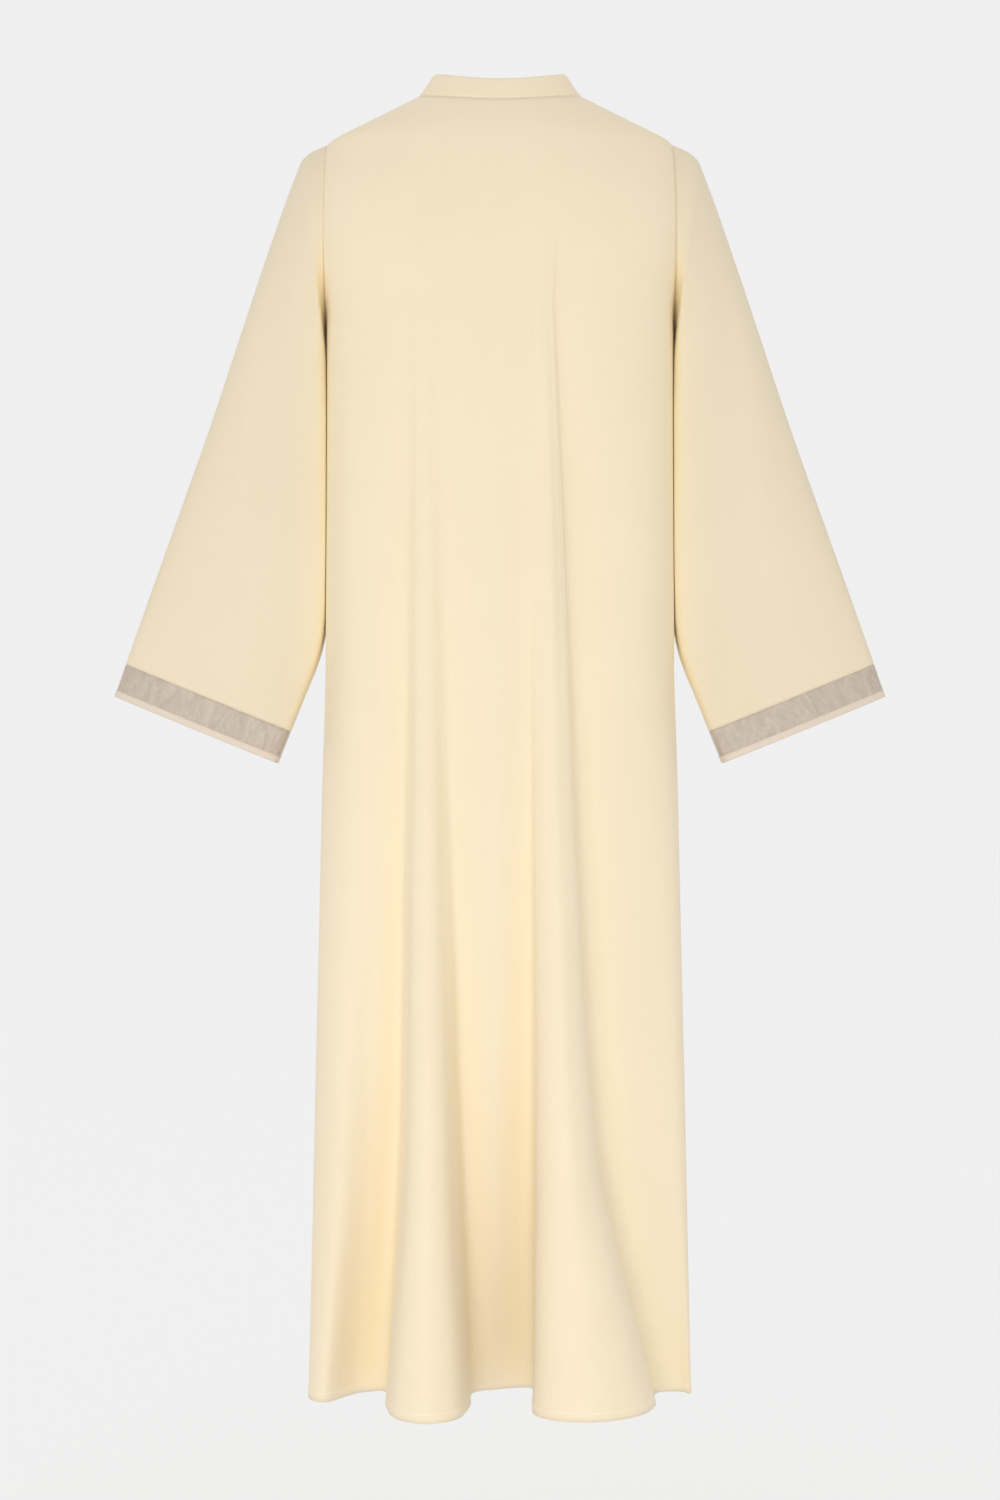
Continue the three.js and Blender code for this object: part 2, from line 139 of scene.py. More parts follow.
LEVELS = (
    Level(0, NECK_HALF_WIDTH, 45, 34, 2.0),
    Level(-15, 118, 60, 45, 2.0),
    Level(-SHOULDER_DROP, SHOULDER_HALF_WIDTH, 84, 69, 2.15),
    Level(-72, SHOULDER_HALF_WIDTH, 92, 80, 2.3),
    Level(-120, SHOULDER_HALF_WIDTH, 103, 99, 2.7),
    Level(-180, SHOULDER_HALF_WIDTH, 108, 111, 3.0),
    Level(UNDERARM_Z, SHOULDER_HALF_WIDTH, 108, 116, 3.0),
    Level(-420, SHOULDER_HALF_WIDTH, 105, 113, 2.8),
    Level(-600, SHOULDER_HALF_WIDTH, 104, 112, 2.6),
    Level(-757, 192, 105, 114, 2.5),
    Level(-870, 195, 105, 115, 2.4),
    Level(-1130, 201, 105, 117, 2.3),
    Level(HEM_Z, 206, 105, 118, 2.3),
)
NECK_REACH = {Side.BACK: 60.0, Side.FRONT: 80.0}

BACK_FOLDS = (
    Fold(182, 193, 202, 10, 2.0),  # side round, left
    Fold(163, 167, 187, -2, 1.0),  # side roll crest, left
    Fold(124, 133, 152, -66, 3.2),  # side roll, inner flank
    Fold(95, 108, 125, -84, 2.2),  # valley 1
    Fold(91, 100, 120, -28, 1.8),  # ridge 1, outer flank
    Fold(87, 91, 107, 19, 2.2),  # ridge 1, outer shoulder
    Fold(81, 76, 77, 32, 2.2),  # ridge 1, crest
    Fold(75, 60, 47, 14, 2.2),  # ridge 1, inner shoulder
    Fold(70, 47, 32, -40, 2.5),  # ridge 1, inner flank
    Fold(64, 39, 28, -95, 2.8),  # valley 2, left
    Fold(18, 5, 2, -108, 3.6),  # valley 2, middle
    Fold(-29, -32, -33, -113, 3.0),  # valley 2, right
    Fold(-35, -39, -37, -4, 1.5),  # ridge 2, sharp edge
    Fold(-41, -52, -62, 20, 1.8),  # ridge 2, first crest
    Fold(-46, -69, -104, 30, 1.8),  # ridge 2, second crest
    Fold(-51, -84, -145, 20, 2.2),  # ridge 2, outer shoulder
    Fold(-55, -95, -163, -8, 1.5),  # ridge 2, outer flank
    Fold(-60, -104, -168, -56, 1.0),  # valley 3
    Fold(-105, -142, -186, -48, 1.2),  # right hollow
    Fold(-163, -176, -198, -28, 1.4),  # side roll crest, right
    Fold(-182, -194, -204, -4, 2.0),  # side round, right
)
FRONT_LEFT_FOLDS = (
    Fold(182, 193, 202, 0, 1.0),  # side round
    Fold(163, 175, 186, -2, 1.0),  # side roll crest
    Fold(142, 157, 166, -38, 2.1),  # valley 1, outer side
    Fold(126, 140, 148, -46, 2.1),  # valley 1, inner side
    Fold(112, 124, 132, 4, 1.8),  # ridge 1, outer shoulder
    Fold(97, 103, 108, 22, 2.0),  # ridge 1, crest
    Fold(84, 83, 84, 4, 2.0),  # ridge 1, inner shoulder
    Fold(72, 70, 71, -48, 2.3),  # valley 2, outer side
    Fold(58, 53, 52, -46, 2.3),  # valley 2, inner side
    Fold(34, 33, 32, 8, 2.0),  # ridge 2, crest
    Fold(1.5, 5.5, 8, -2, 1.5),  # front edge
)
FRONT_RIGHT_FOLDS = (
    Fold(-182, -193, -203, 0, 1.0),  # side round
    Fold(-161, -177, -191, -8, 1.4),  # side roll crest
    Fold(-134, -162, -176, -32, 1.6),  # valley 1, outer side
    Fold(-116, -146, -160, -42, 1.8),  # valley 1, inner side
    Fold(-104, -130, -144, 0, 1.8),  # ridge 1, outer shoulder
    Fold(-88, -105, -118, 20, 2.2),  # ridge 1, crest
    Fold(-74, -85, -94, 6, 2.0),  # ridge 1, inner shoulder
    Fold(-62, -73, -82, -46, 2.4),  # valley 2, outer side
    Fold(-48, -55, -62, -42, 2.4),  # valley 2, inner side
    Fold(-28, -33, -40, 6, 1.8),  # ridge 2, crest
    Fold(-1.5, -5.5, -8, 4, 1.5),  # front edge
)

SLEEVE_RINGS = (
    Ring(
        (SHOULDER_HALF_WIDTH, 0, -SHOULDER_DROP),
        (SHOULDER_HALF_WIDTH, 0, UNDERARM_Z),
        ARMHOLE_REACH,
        ARMHOLE_POINTING,
    ),
    Ring((202, 0, -57), (187.6, -2, -258), 61, 1.32),
    Ring((212.5, 0, -66), (186.5, -3, -270), 61, 1.15),
    Ring((219, 0, -81), (185, -4, -286), 60, 1.02),
    Ring((233.5, -1, -120), (184, -5, -312), 58, 0.9),
    Ring((256, -2, -185), (183, -5, -350), 55, 0.8),
    Ring((282.5, -3, -264), (183, -5, -398), 51, 0.75),
    Ring((312, -4, -352), (183, -5, -455), 47, 0.72),
    Ring((345, -5, -444), (184, -6, -518), 42, 0.72),
    Ring((375.5, -6, -528), (193, -8, -594), 33, 0.75),
    Ring((396, -7, -585), (214, -10, -650), 26, 0.8),
    Ring((405, -8, -610), (227, -10, -682.5), 24, 0.8),
)
SLEEVE_BAND_END = Ring((417, -8, -645), (241, -10, -717), 22, 0.8)

# ---- Creases: x and z in millimetres -----------------------------------------------------------------
CREASES = (
    # back: long soft waves, the highest from the shoulder blades, the lowest in the skirt
    Crease(Side.BACK, CreaseKind.TROUGH, (102, -190), (96, -880), 13, 2.6, 2),
    Crease(Side.BACK, CreaseKind.RIDGE, (78, -230), (72, -900), 12, 1.6, 1),
    Crease(Side.BACK, CreaseKind.TROUGH, (62, -260), (54, -1000), 9, 1.4, -2),
    Crease(Side.BACK, CreaseKind.RIDGE, (2, -260), (-4, -1040), 22, 3.0, 3),
    Crease(Side.BACK, CreaseKind.LAP, (-46, -140), (-62, -700), 10, 2.2, -2),
    Crease(Side.BACK, CreaseKind.TROUGH, (-96, -300), (-98, -620), 26, 3.2, 4),
    Crease(Side.BACK, CreaseKind.RIDGE, (-146, -380), (-150, -760), 22, 3.0, 0),
    Crease(Side.BACK, CreaseKind.RIDGE, (150, -360), (158, -760), 24, 3.0, 0),
    Crease(Side.BACK, CreaseKind.TROUGH, (-150, -760), (-176, -1120), 20, 2.6, -6),
    Crease(Side.BACK, CreaseKind.TROUGH, (128, -640), (140, -1180), 14, 2.2, 3),
    # back of the shoulders: shallow drag lines towards the neck
    Crease(Side.BACK, CreaseKind.TROUGH, (96, -26), (150, -120), 20, 1.4, 4),
    Crease(Side.BACK, CreaseKind.TROUGH, (-96, -26), (-150, -120), 20, 1.6, -4),
    # sleeves, back
    Crease(Side.BACK, CreaseKind.TROUGH, (232, -170), (250, -470), 17, 2.6, 4),
    Crease(Side.BACK, CreaseKind.RIDGE, (258, -240), (292, -560), 20, 2.0, 3),
    Crease(Side.BACK, CreaseKind.TROUGH, (-232, -170), (-252, -460), 17, 2.4, -4),
    Crease(Side.BACK, CreaseKind.RIDGE, (-256, -250), (-296, -550), 20, 2.2, -3),
    # fronts
    Crease(Side.FRONT, CreaseKind.TROUGH, (60, -200), (66, -760), 14, 2.4, 2),
    Crease(Side.FRONT, CreaseKind.RIDGE, (98, -240), (102, -880), 18, 2.6, -3),
    Crease(Side.FRONT, CreaseKind.TROUGH, (134, -330), (146, -900), 16, 2.2, 3),
    Crease(Side.FRONT, CreaseKind.TROUGH, (-54, -190), (-56, -700), 15, 2.6, -2),
    Crease(Side.FRONT, CreaseKind.RIDGE, (-90, -260), (-98, -860), 19, 2.4, 3),
    Crease(Side.FRONT, CreaseKind.TROUGH, (-128, -300), (-144, -840), 15, 2.4, -4),
    Crease(Side.FRONT, CreaseKind.TROUGH, (20, -120), (28, -420), 12, 1.2, 0),
    Crease(Side.FRONT, CreaseKind.TROUGH, (-18, -140), (-24, -380), 12, 1.2, 0),
    # sleeves, front
    Crease(Side.FRONT, CreaseKind.TROUGH, (226, -150), (246, -440), 18, 2.4, 4),
    Crease(Side.FRONT, CreaseKind.RIDGE, (262, -260), (300, -560), 22, 2.0, 3),
    Crease(Side.FRONT, CreaseKind.TROUGH, (-228, -160), (-244, -420), 18, 2.6, -4),
    Crease(Side.FRONT, CreaseKind.RIDGE, (-266, -250), (-304, -570), 22, 2.0, -3),
)


def smoothstep(low: float, high: float, value: np.ndarray) -> np.ndarray:
    """Rises smoothly from 0 at low to 1 at high."""
    share = np.clip((value - low) / (high - low), 0.0, 1.0)
    return share * share * (3.0 - 2.0 * share)


class SmoothColumn:
    """A smooth curve through the values of one column of a table that runs from the top down."""

    def __init__(self, heights: list[float], values: list[float]) -> None:
        """Works out the slope at each row so that the curve never passes a neighbour.

        Args:
            heights: the rows' z, falling.
            values: the column's values.
        """
        self.z = heights
        self.value = values
        secant = [(values[i + 1] - values[i]) / (heights[i + 1] - heights[i]) for i in range(len(values) - 1)]
        self.slope = [secant[0]]
        for before, after in zip(secant, secant[1:]):
            self.slope.append(2 * before * after / (before + after) if before * after > 0 else 0.0)
        self.slope.append(secant[-1])

    def at(self, z: float) -> float:
        """Reads the curve, which is held level beyond both ends.

        Args:
            z: the height to read it at.

        Returns:
            The value there.
        """
        low = next((i for i, height in enumerate(self.z) if height <= z), len(self.z) - 1)
        low = max(low, 1)
        high = low - 1
        span = self.z[low] - self.z[high]
        s = min(max((z - self.z[high]) / span, 0.0), 1.0)
        return (
            (2 * s**3 - 3 * s**2 + 1) * self.value[high]
            + (s**3 - 2 * s**2 + s) * self.slope[high] * span
            + (3 * s**2 - 2 * s**3) * self.value[low]
            + (s**3 - s**2) * self.slope[low] * span
        )


@dataclass(frozen=True)
class Section:
    """The smooth section of one side of the body at one height."""

    half_width: float
    reach: float
    square: float
    seam_turn: float  # the angle of the side seam or of the armhole's edge

    def point(self, facing: int, turn: float) -> tuple[float, float]:
        """The point at an angle from the centre line.

        Args:
            facing: 1 for the back, -1 for the front.
            turn: the angle, in radians.

        Returns:
            Its x and y.
        """
        sine, cosine = math.sin(turn), math.cos(turn)
        roundness = (abs(sine) ** self.square + abs(cosine) ** self.square) ** (1 / self.square)
        return self.half_width * sine / roundness, facing * self.reach * cosine / roundness

    def turn_at(self, x: float) -> float:
        """The angle of the point that lies at a place across.

        Args:
            x: the place, held inside the half width.

        Returns:
            The angle, in radians.
        """
        across = min(max(x / self.half_width, -1.0), 1.0)
        out = (1 - abs(across) ** self.square) ** (1 / self.square)
        return math.atan2(across, out)

    def squeezed_turn(self, share: float) -> float:
        """The angle of a line above the underarm: those next to the armhole give way to it the most."""
        give_way = abs(share) ** ARMHOLE_SQUEEZE * (RIGHT_ANGLE - self.seam_turn)
        return share * RIGHT_ANGLE - math.copysign(give_way, share)


class BodyForm:
    """The body of the garment without its folds."""

    def __init__(self) -> None:
        """Prepares a smooth curve for each column of the level table."""
        heights = [level.z for level in LEVELS]
        self.half_width = SmoothColumn(heights, [level.half_width for level in LEVELS])
        self.square = SmoothColumn(heights, [level.square for level in LEVELS])
        self.reach = {
            Side.BACK: SmoothColumn(heights, [level.back for level in LEVELS]),
            Side.FRONT: SmoothColumn(heights, [level.front for level in LEVELS]),
        }

    @staticmethod
    def armhole_reach(z: float) -> float:
        """How far the armhole reaches from the shoulder plane at height z."""
        share = (z + SHOULDER_DROP + ARMHOLE_DEPTH / 2) / (ARMHOLE_DEPTH / 2)
        return ARMHOLE_REACH * (1 - share * share) ** (ARMHOLE_POINTING / 2) if abs(share) < 1 else 0.0

    def section(self, side: Side, z: float) -> Section:
        """The smooth section of one side at one height, widened along the armhole.

        Args:
            side: the back or the front.
            z: the height.

        Returns:
            The section.
        """
        reach = self.reach[side].at(z)
        square = self.square.at(z)
        cut = self.armhole_reach(z) / reach
        slope = (SHOULDER_HALF_WIDTH - NECK_HALF_WIDTH) / SHOULDER_DROP
        seam_width = NECK_HALF_WIDTH - z * slope if z > -SHOULDER_DROP else self.half_width.at(z)
        half_width = seam_width / (1 - cut**square) ** (1 / square)
        return Section(half_width, reach, square, math.atan2(seam_width / half_width, cut))

    def neck_height(self, side: Side, share: float) -> float:
        """The height at which a line meets the neck edge.

        Args:
            side: the back or the front.
            share: the line's angle at the underarm over that of the side seam.

        Returns:
            The height.
        """
        above, below = 0.0, -SHOULDER_DROP * 2
        for _ in range(NECK_HALVINGS):
            z = (above + below) / 2
            section = self.section(side, z)
            x, y = section.point(side.value, section.squeezed_turn(share))
            if (x / NECK_HALF_WIDTH) ** 2 + (y / NECK_REACH[side]) ** 2 < 1:
                above = z
            else:
                below = z
        return (above + below) / 2


def curve_through(points: np.ndarray, stops: np.ndarray) -> np.ndarray:
    """A centripetal curve through a row of points.

    Args:
        points: the row's points, one a line.
        stops: where to read it, in spans from the first point.

    Returns:
        The curve's points at the stops.
    """
    last = len(points) - 1
    ends = np.vstack([2 * points[0] - points[1], points, 2 * points[-1] - points[-2]])
    span = np.minimum(np.floor(stops).astype(int), last - 1)
    weight = (stops - span)[:, None]
    p0, p1, p2, p3 = (ends[span + i] for i in range(4))
    dt0, dt1, dt2 = (
        np.maximum(np.sqrt(np.linalg.norm(b - a, axis=1)), 1e-4)[:, None]
        for a, b in ((p0, p1), (p1, p2), (p2, p3))
    )
    t1 = ((p1 - p0) / dt0 - (p2 - p0) / (dt0 + dt1) + (p2 - p1) / dt1) * dt1
    t2 = ((p2 - p1) / dt1 - (p3 - p1) / (dt1 + dt2) + (p3 - p2) / dt2) * dt1
    c2 = -3 * p1 + 3 * p2 - 2 * t1 - t2
    c3 = 2 * p1 - 2 * p2 + t1 + t2
    return p1 + t1 * weight + c2 * weight**2 + c3 * weight**3


@dataclass
class ClothGrid:
    """A piece of cloth as a grid of points in millimetres, rows from its top edge down."""

    WAVE_WIDTH: ClassVar[float] = 420.0  # the width of cloth over which the settling waves repeat
    WAVE_COUNTS: ClassVar[tuple[int, ...]] = (5, 7, 9, 12, 16)  # waves over that width
    WAVES: ClassVar[int] = 9  # how many are laid over each other
    WAVE_FALLS: ClassVar[tuple[float, float]] = (380.0, 900.0)  # how far down one swells and fades again
    WAVE_SHARE: ClassVar[float] = 0.25  # the share of the whole unevenness that the widest wave has
    TOP_FADE: ClassVar[float] = 160.0  # the waves fade towards the edges over these distances
    END_FADE: ClassVar[float] = 8.0
    SIDE_FADE: ClassVar[float] = 40.0
    CREASE_FADE: ClassVar[float] = 0.3  # the share of a crease's length over which each end fades
    CREASE_FACING: ClassVar[tuple[float, float]] = (0.05, 0.5)  # the normal's Y: no crease, a whole one
    LAP_LEAN: ClassVar[float] = 1.6  # makes a lap's ridge and trough each 0.7 of its depth

    points: np.ndarray
    is_tube: bool = False

    def normals(self) -> np.ndarray:
        """Each point's outward direction, averaged from the cells around it.

        Returns:
            The directions, one for each point.
        """
        p = self.points
        if self.is_tube:
            p = np.concatenate([p, p[:, :1]], axis=1)
        cell = np.cross(p[1:, 1:] - p[:-1, :-1], p[:-1, 1:] - p[1:, :-1])
        cell /= np.maximum(np.linalg.norm(cell, axis=2, keepdims=True), 1e-9)
        total = np.zeros_like(p)
        for rows in (slice(0, -1), slice(1, None)):
            for columns in (slice(0, -1), slice(1, None)):
                total[rows, columns] += cell
        if self.is_tube:
            total[:, 0] += total[:, -1]
            total = total[:, :-1]
        return total / np.maximum(np.linalg.norm(total, axis=2, keepdims=True), 1e-9)

    def across(self) -> np.ndarray:
        """The distance of each point from the first column, along its row."""
        step = np.linalg.norm(np.diff(self.points, axis=1), axis=2)
        return np.concatenate([np.zeros((len(step), 1)), np.cumsum(step, axis=1)], axis=1)

    def down(self) -> np.ndarray:
        """The distance of each point from the first row, along its column."""
        step = np.linalg.norm(np.diff(self.points, axis=0), axis=2)
        return np.concatenate([np.zeros((1, step.shape[1])), np.cumsum(step, axis=0)], axis=0)

    def move_out(self, distance: np.ndarray) -> None:
        """Moves each point outwards by its own distance."""
        self.points = self.points + self.normals() * distance[:, :, None]

    def carve(self, creases: tuple[Crease, ...]) -> None:
        """Works the creases that cross this piece into it.

        Args:
            creases: creases of any piece; those that lie elsewhere do nothing here.
        """
        normals = self.normals()
        x, z = self.points[:, :, 0], self.points[:, :, 2]
        total = np.zeros(x.shape)
        for crease in creases:
            facing = smoothstep(*self.CREASE_FACING, normals[:, :, 1] * crease.side.value)
            (x0, z0), (x1, z1) = crease.top, crease.bottom
            share = (z0 - z) / (z0 - z1)
            taper = smoothstep(0.0, self.CREASE_FADE, share) * smoothstep(0.0, self.CREASE_FADE, 1 - share)
            centre = x0 + (x1 - x0) * share + crease.bow * 4 * share * (1 - share)
            off = (x - centre) / crease.half_width
            bell = np.exp(-off * off)
            shape = {
                CreaseKind.RIDGE: bell,
                CreaseKind.TROUGH: -bell,
                CreaseKind.LAP: self.LAP_LEAN * off * bell,
            }[crease.kind]
            total += facing * taper * shape * crease.depth
        self.points = self.points + normals * total[:, :, None]

    def settle(self, seed: int, amount: float) -> None:
        """Adds the faint unevenness of hanging cloth: long waves that run down it.

        Args:
            seed: which waves.
            amount: the whole unevenness, in millimetres.
        """
        random = np.random.default_rng(seed)
        u, v = self.across(), self.down()
        if self.is_tube:
            u = np.broadcast_to(np.linspace(0, 1, u.shape[1], endpoint=False), u.shape) * self.WAVE_WIDTH
        total = np.zeros(u.shape)
        widest = self.WAVE_WIDTH / min(self.WAVE_COUNTS)
        for _ in range(self.WAVES):
            period = random.choice([self.WAVE_WIDTH / count for count in self.WAVE_COUNTS])
            fall = random.uniform(*self.WAVE_FALLS)
            phase, other = random.uniform(0, 2 * math.pi, 2)
            envelope = 0.5 + 0.5 * np.sin(2 * math.pi * v / fall + other)
            total += envelope * np.sin(2 * math.pi * u / period + phase) * period / widest
        fade = smoothstep(0.0, self.TOP_FADE, v) * smoothstep(0.0, self.END_FADE, v[-1] - v)
        if not self.is_tube:
            across = smoothstep(0.0, self.SIDE_FADE, u)
            fade = fade * across * smoothstep(0.0, self.SIDE_FADE, u[:, -1:] - u)
        self.move_out(total * fade * amount * self.WAVE_SHARE)

    def row_at(self, from_end: float) -> tuple[np.ndarray, np.ndarray]:
        """A line across the piece at a distance from its last row.

        Args:
            from_end: the distance, in millimetres.

        Returns:
            The line's points and their outward directions.
        """
        along = self.down()
        target = along[-1] - from_end
        normals = self.normals()
        points, directions = [], []
        for column, reach in enumerate(target):
            row = int(np.clip(np.searchsorted(along[:, column], reach) - 1, 0, len(along) - 2))
            span = along[row + 1, column] - along[row, column]
            share = (reach - along[row, column]) / max(span, 1e-6)
            points.append(self.points[row, column] * (1 - share) + self.points[row + 1, column] * share)
            directions.append(normals[row, column] * (1 - share) + normals[row + 1, column] * share)
        if self.is_tube:
            points.append(points[0])
            directions.append(directions[0])
        return np.array(points), np.array(directions)

    def column_at(self, from_edge: float, is_last: bool) -> tuple[np.ndarray, np.ndarray]:
        """A line down the piece at a distance from its first or last column.

        Args:
            from_edge: the distance, in millimetres.
            is_last: measure it from the last column rather than from the first.

        Returns:
            The line's points and their outward directions.
        """
        along = self.across()
        normals = self.normals()
        points, directions = [], []
        for row in range(len(along)):
            reach = along[row, -1] - from_edge if is_last else from_edge
            column = int(np.clip(np.searchsorted(along[row], reach) - 1, 0, along.shape[1] - 2))
            span = along[row, column + 1] - along[row, column]
            share = (reach - along[row, column]) / max(span, 1e-6)
            points.append(self.points[row, column] * (1 - share) + self.points[row, column + 1] * share)
            directions.append(normals[row, column] * (1 - share) + normals[row, column + 1] * share)
        return np.array(points), np.array(directions)

    def build(
        self, name: str, finish: bpy.types.Material, thickness: float, strip: float = 0.0
    ) -> bpy.types.Object:
        """Makes the piece: the grid as a shell with its thickness inwards, and a flat cloth map.

        Args:
            name: the object's name.
            finish: its material.
            thickness: the shell's, in millimetres.
            strip: how much of its lower edge, in millimetres, the attribute "strip" marks.

        Returns:
            The object, linked into the scene.
        """
        rows, columns = self.points.shape[:2]
        wrap = columns if self.is_tube else columns - 1
        row, column = np.meshgrid(np.arange(rows - 1), np.arange(wrap), indexing="ij")
        after = (column + 1) % columns
        upper, lower = row * columns, (row + 1) * columns
        faces = np.stack([upper + column, lower + column, lower + after, upper + after], axis=-1)
        mesh = bpy.data.meshes.new(name)
        mesh.from_pydata((self.points.reshape(-1, 3) * MM).tolist(), [], faces.reshape(-1, 4).tolist())
        u, v = self.across(), self.down()
        if self.is_tube:
            closing = np.linalg.norm(self.points[:, 0] - self.points[:, -1], axis=1)
            u = np.concatenate([u, (u[:, -1] + closing)[:, None]], axis=1)
            v = np.concatenate([v, v[:, :1]], axis=1)
        corner_rows = np.stack([row, row + 1, row + 1, row], axis=-1).reshape(-1)
        corner_columns = np.stack([column, column, column + 1, column + 1], axis=-1).reshape(-1)
        flat = np.stack([u[corner_rows, corner_columns], v[corner_rows, corner_columns]], axis=-1) * MM
        layer = mesh.uv_layers.new(name="cloth")
        layer.data.foreach_set("uv", flat.astype(np.float32).reshape(-1))
        if strip:
            mark = (self.down()[-1] - self.down() < strip).astype(np.float32)
            mesh.attributes.new("strip", "FLOAT", "POINT").data.foreach_set("value", mark.reshape(-1))
        mesh.polygons.foreach_set("use_smooth", [True] * len(mesh.polygons))
        mesh.materials.append(finish)
        mesh.update()
        piece = bpy.data.objects.new(name, mesh)
        bpy.context.scene.collection.objects.link(piece)
        shell = piece.modifiers.new("cloth thickness", "SOLIDIFY")
        shell.thickness = thickness * MM
        shell.offset = -1.0
        shell.use_rim = True
        return piece


# ---- Finishes ------------------------------------------------------------------------------------------
def linear(hex_colour: str) -> tuple[float, float, float, float]:
    """Turns an sRGB hex colour to the linear colour that a shader takes.

    Args:
        hex_colour: six hex digits.

    Returns:
        Red, green and blue from 0 to 1, and 1 for alpha.
    """
    channels = [int(hex_colour[i : i + 2], 16) / 255 for i in (0, 2, 4)]
    red, green, blue = (c / 12.92 if c <= 0.04045 else ((c + 0.055) / 1.055) ** 2.4 for c in channels)
    return red, green, blue, 1.0


def add_node(
    tree: bpy.types.NodeTree, kind: str, settings: dict | None = None, **inputs: object
) -> bpy.types.Node:
    """Adds a node, sets it up and links it.

    Args:
        tree: the tree that gets the node.
        kind: the node's type name.
        settings: properties of the node itself.
        **inputs: values or sockets for its inputs, by name with _ for a space or by i and a number.

    Returns:
        The new node.
    """
    node = tree.nodes.new(kind)
    for key, value in (settings or {}).items():
        setattr(node, key, value)
    for key, value in inputs.items():
        is_index = key[0] == "i" and key[1:].isdigit()
        socket = node.inputs[int(key[1:])] if is_index else node.inputs[key.replace("_", " ")]
        if isinstance(value, bpy.types.NodeSocket):
            tree.links.new(value, socket)
        else:
            socket.default_value = value
    return node


@dataclass(frozen=True)
class CrepeFinish:
    """Polyester crepe, piece dyed cream: a matt, finely pebbled cloth whose twisted yarns give a faint
    sheen at grazing angles and a slightly streaky, warm surface."""

    name: str = "polyester crepe, cream"
    light: str = "E8DABF"
    deep: str = "E3D3B5"
    roughness: float = 0.62
    grain_mm: float = 1.5  # the pebbles are 0.7 mm; drawn twice as coarse, so that they show
    slub_mm: float = 2.2  # the streaks are single yarns, 0.3 mm wide; drawn coarser, so that they show
    slub_stretch: float = 0.03  # the slubs run down the cloth, about thirty times as long as wide
    cloud_mm: float = 1000 / 9  # patches a hand wide, where the dye took a little more or less
    crumple_mm: float = 34.0
    slub_weight: float = 0.45  # how much of the deep colour the streaks bring in
    cloud_weight: float = 0.6  # how much of it the patches bring in
    deep_base: float = 0.1  # how much of it there is everywhere
    painted_glow_colour: str = "F7E7C1"  # painted light: the lighter, warmer cream painted where cloth lies close to cloth
    painted_glow_mm: float = 50.0  # how far off other cloth counts as close
    # painted light: how strongly the lighter, warmer cream comes in where cloth is hidden
    painted_glow_gain: float = 1.2

    def build(self) -> bpy.types.Material:
        """Makes the material.

        Returns:
            The material.
        """
        material = bpy.data.materials.new(self.name)
        material.use_nodes = True
        tree = material.node_tree
        shader = tree.nodes["Principled BSDF"]
        place = add_node(tree, "ShaderNodeTexCoord")
        cloth = add_node(tree, "ShaderNodeUVMap", {"uv_map": "cloth"})
        stretch = add_node(
            tree, "ShaderNodeMapping", Vector=cloth.outputs["UV"], Scale=(1.0, self.slub_stretch, 1.0)
        )
        slub = add_node(
            tree, "ShaderNodeTexNoise", Vector=stretch.outputs[0], Scale=1 / (self.slub_mm * MM), Detail=3.0
        )
        cloud = add_node(
            tree, "ShaderNodeTexNoise", Vector=place.outputs["Object"], Scale=1 / (self.cloud_mm * MM),
            Detail=2.0,
        )
        blend = add_node(
            tree, "ShaderNodeMath", {"operation": "MULTIPLY_ADD"}, i0=slub.outputs[0], i1=self.slub_weight,
            i2=self.deep_base,
        )
        tone = add_node(
            tree, "ShaderNodeMath", {"operation": "MULTIPLY"}, i0=cloud.outputs[0], i1=self.cloud_weight
        )
        share = add_node(
            tree, "ShaderNodeMath", {"operation": "ADD"}, i0=blend.outputs[0], i1=tone.outputs[0]
        )
        colour = add_node(
            tree, "ShaderNodeMix", {"data_type": "RGBA"}, Factor=share.outputs[0], i6=linear(self.light),
            i7=linear(self.deep),
        )
        grain = add_node(
            tree, "ShaderNodeTexNoise", Vector=cloth.outputs["UV"], Scale=1 / (self.grain_mm * MM),
            Detail=2.0, Distortion=0.6,
        )
        crumple = add_node(
            tree, "ShaderNodeTexNoise", Vector=place.outputs["Object"], Scale=1 / (self.crumple_mm * MM),
            Detail=2.0,
        )
        soft = add_node(tree, "ShaderNodeBump", Height=crumple.outputs[0], Strength=0.10, Distance=0.004)
        bump = add_node(
            tree, "ShaderNodeBump", Height=grain.outputs[0], Strength=0.35, Distance=0.00035,
            Normal=soft.outputs[0],
        )
        # painted light: where cloth lies close to cloth, the bottoms of folds and the line along which two
        # pieces touch are painted a lighter, warmer cream, standing in for light that goes through the thin
        # layers again and again
        openness = add_node(
            tree, "ShaderNodeAmbientOcclusion", {"samples": 6}, Distance=self.painted_glow_mm * MM
        )
        painted_glow_share = add_node(
            tree, "ShaderNodeMath", {"operation": "MULTIPLY_ADD"}, i0=openness.outputs["AO"],
            i1=-self.painted_glow_gain, i2=self.painted_glow_gain,
        )
        with_painted_glow = add_node(
            tree, "ShaderNodeMix", {"data_type": "RGBA"}, Factor=painted_glow_share.outputs[0], i6=colour.outputs[2],
            i7=linear(self.painted_glow_colour),
        )
        tree.links.new(with_painted_glow.outputs[2], shader.inputs["Base Color"])
        tree.links.new(bump.outputs[0], shader.inputs["Normal"])
        shader.inputs["Roughness"].default_value = self.roughness
        shader.inputs["Specular IOR Level"].default_value = 0.3
        shader.inputs["Sheen Weight"].default_value = 0.12
        shader.inputs["Sheen Roughness"].default_value = 0.5
        return material


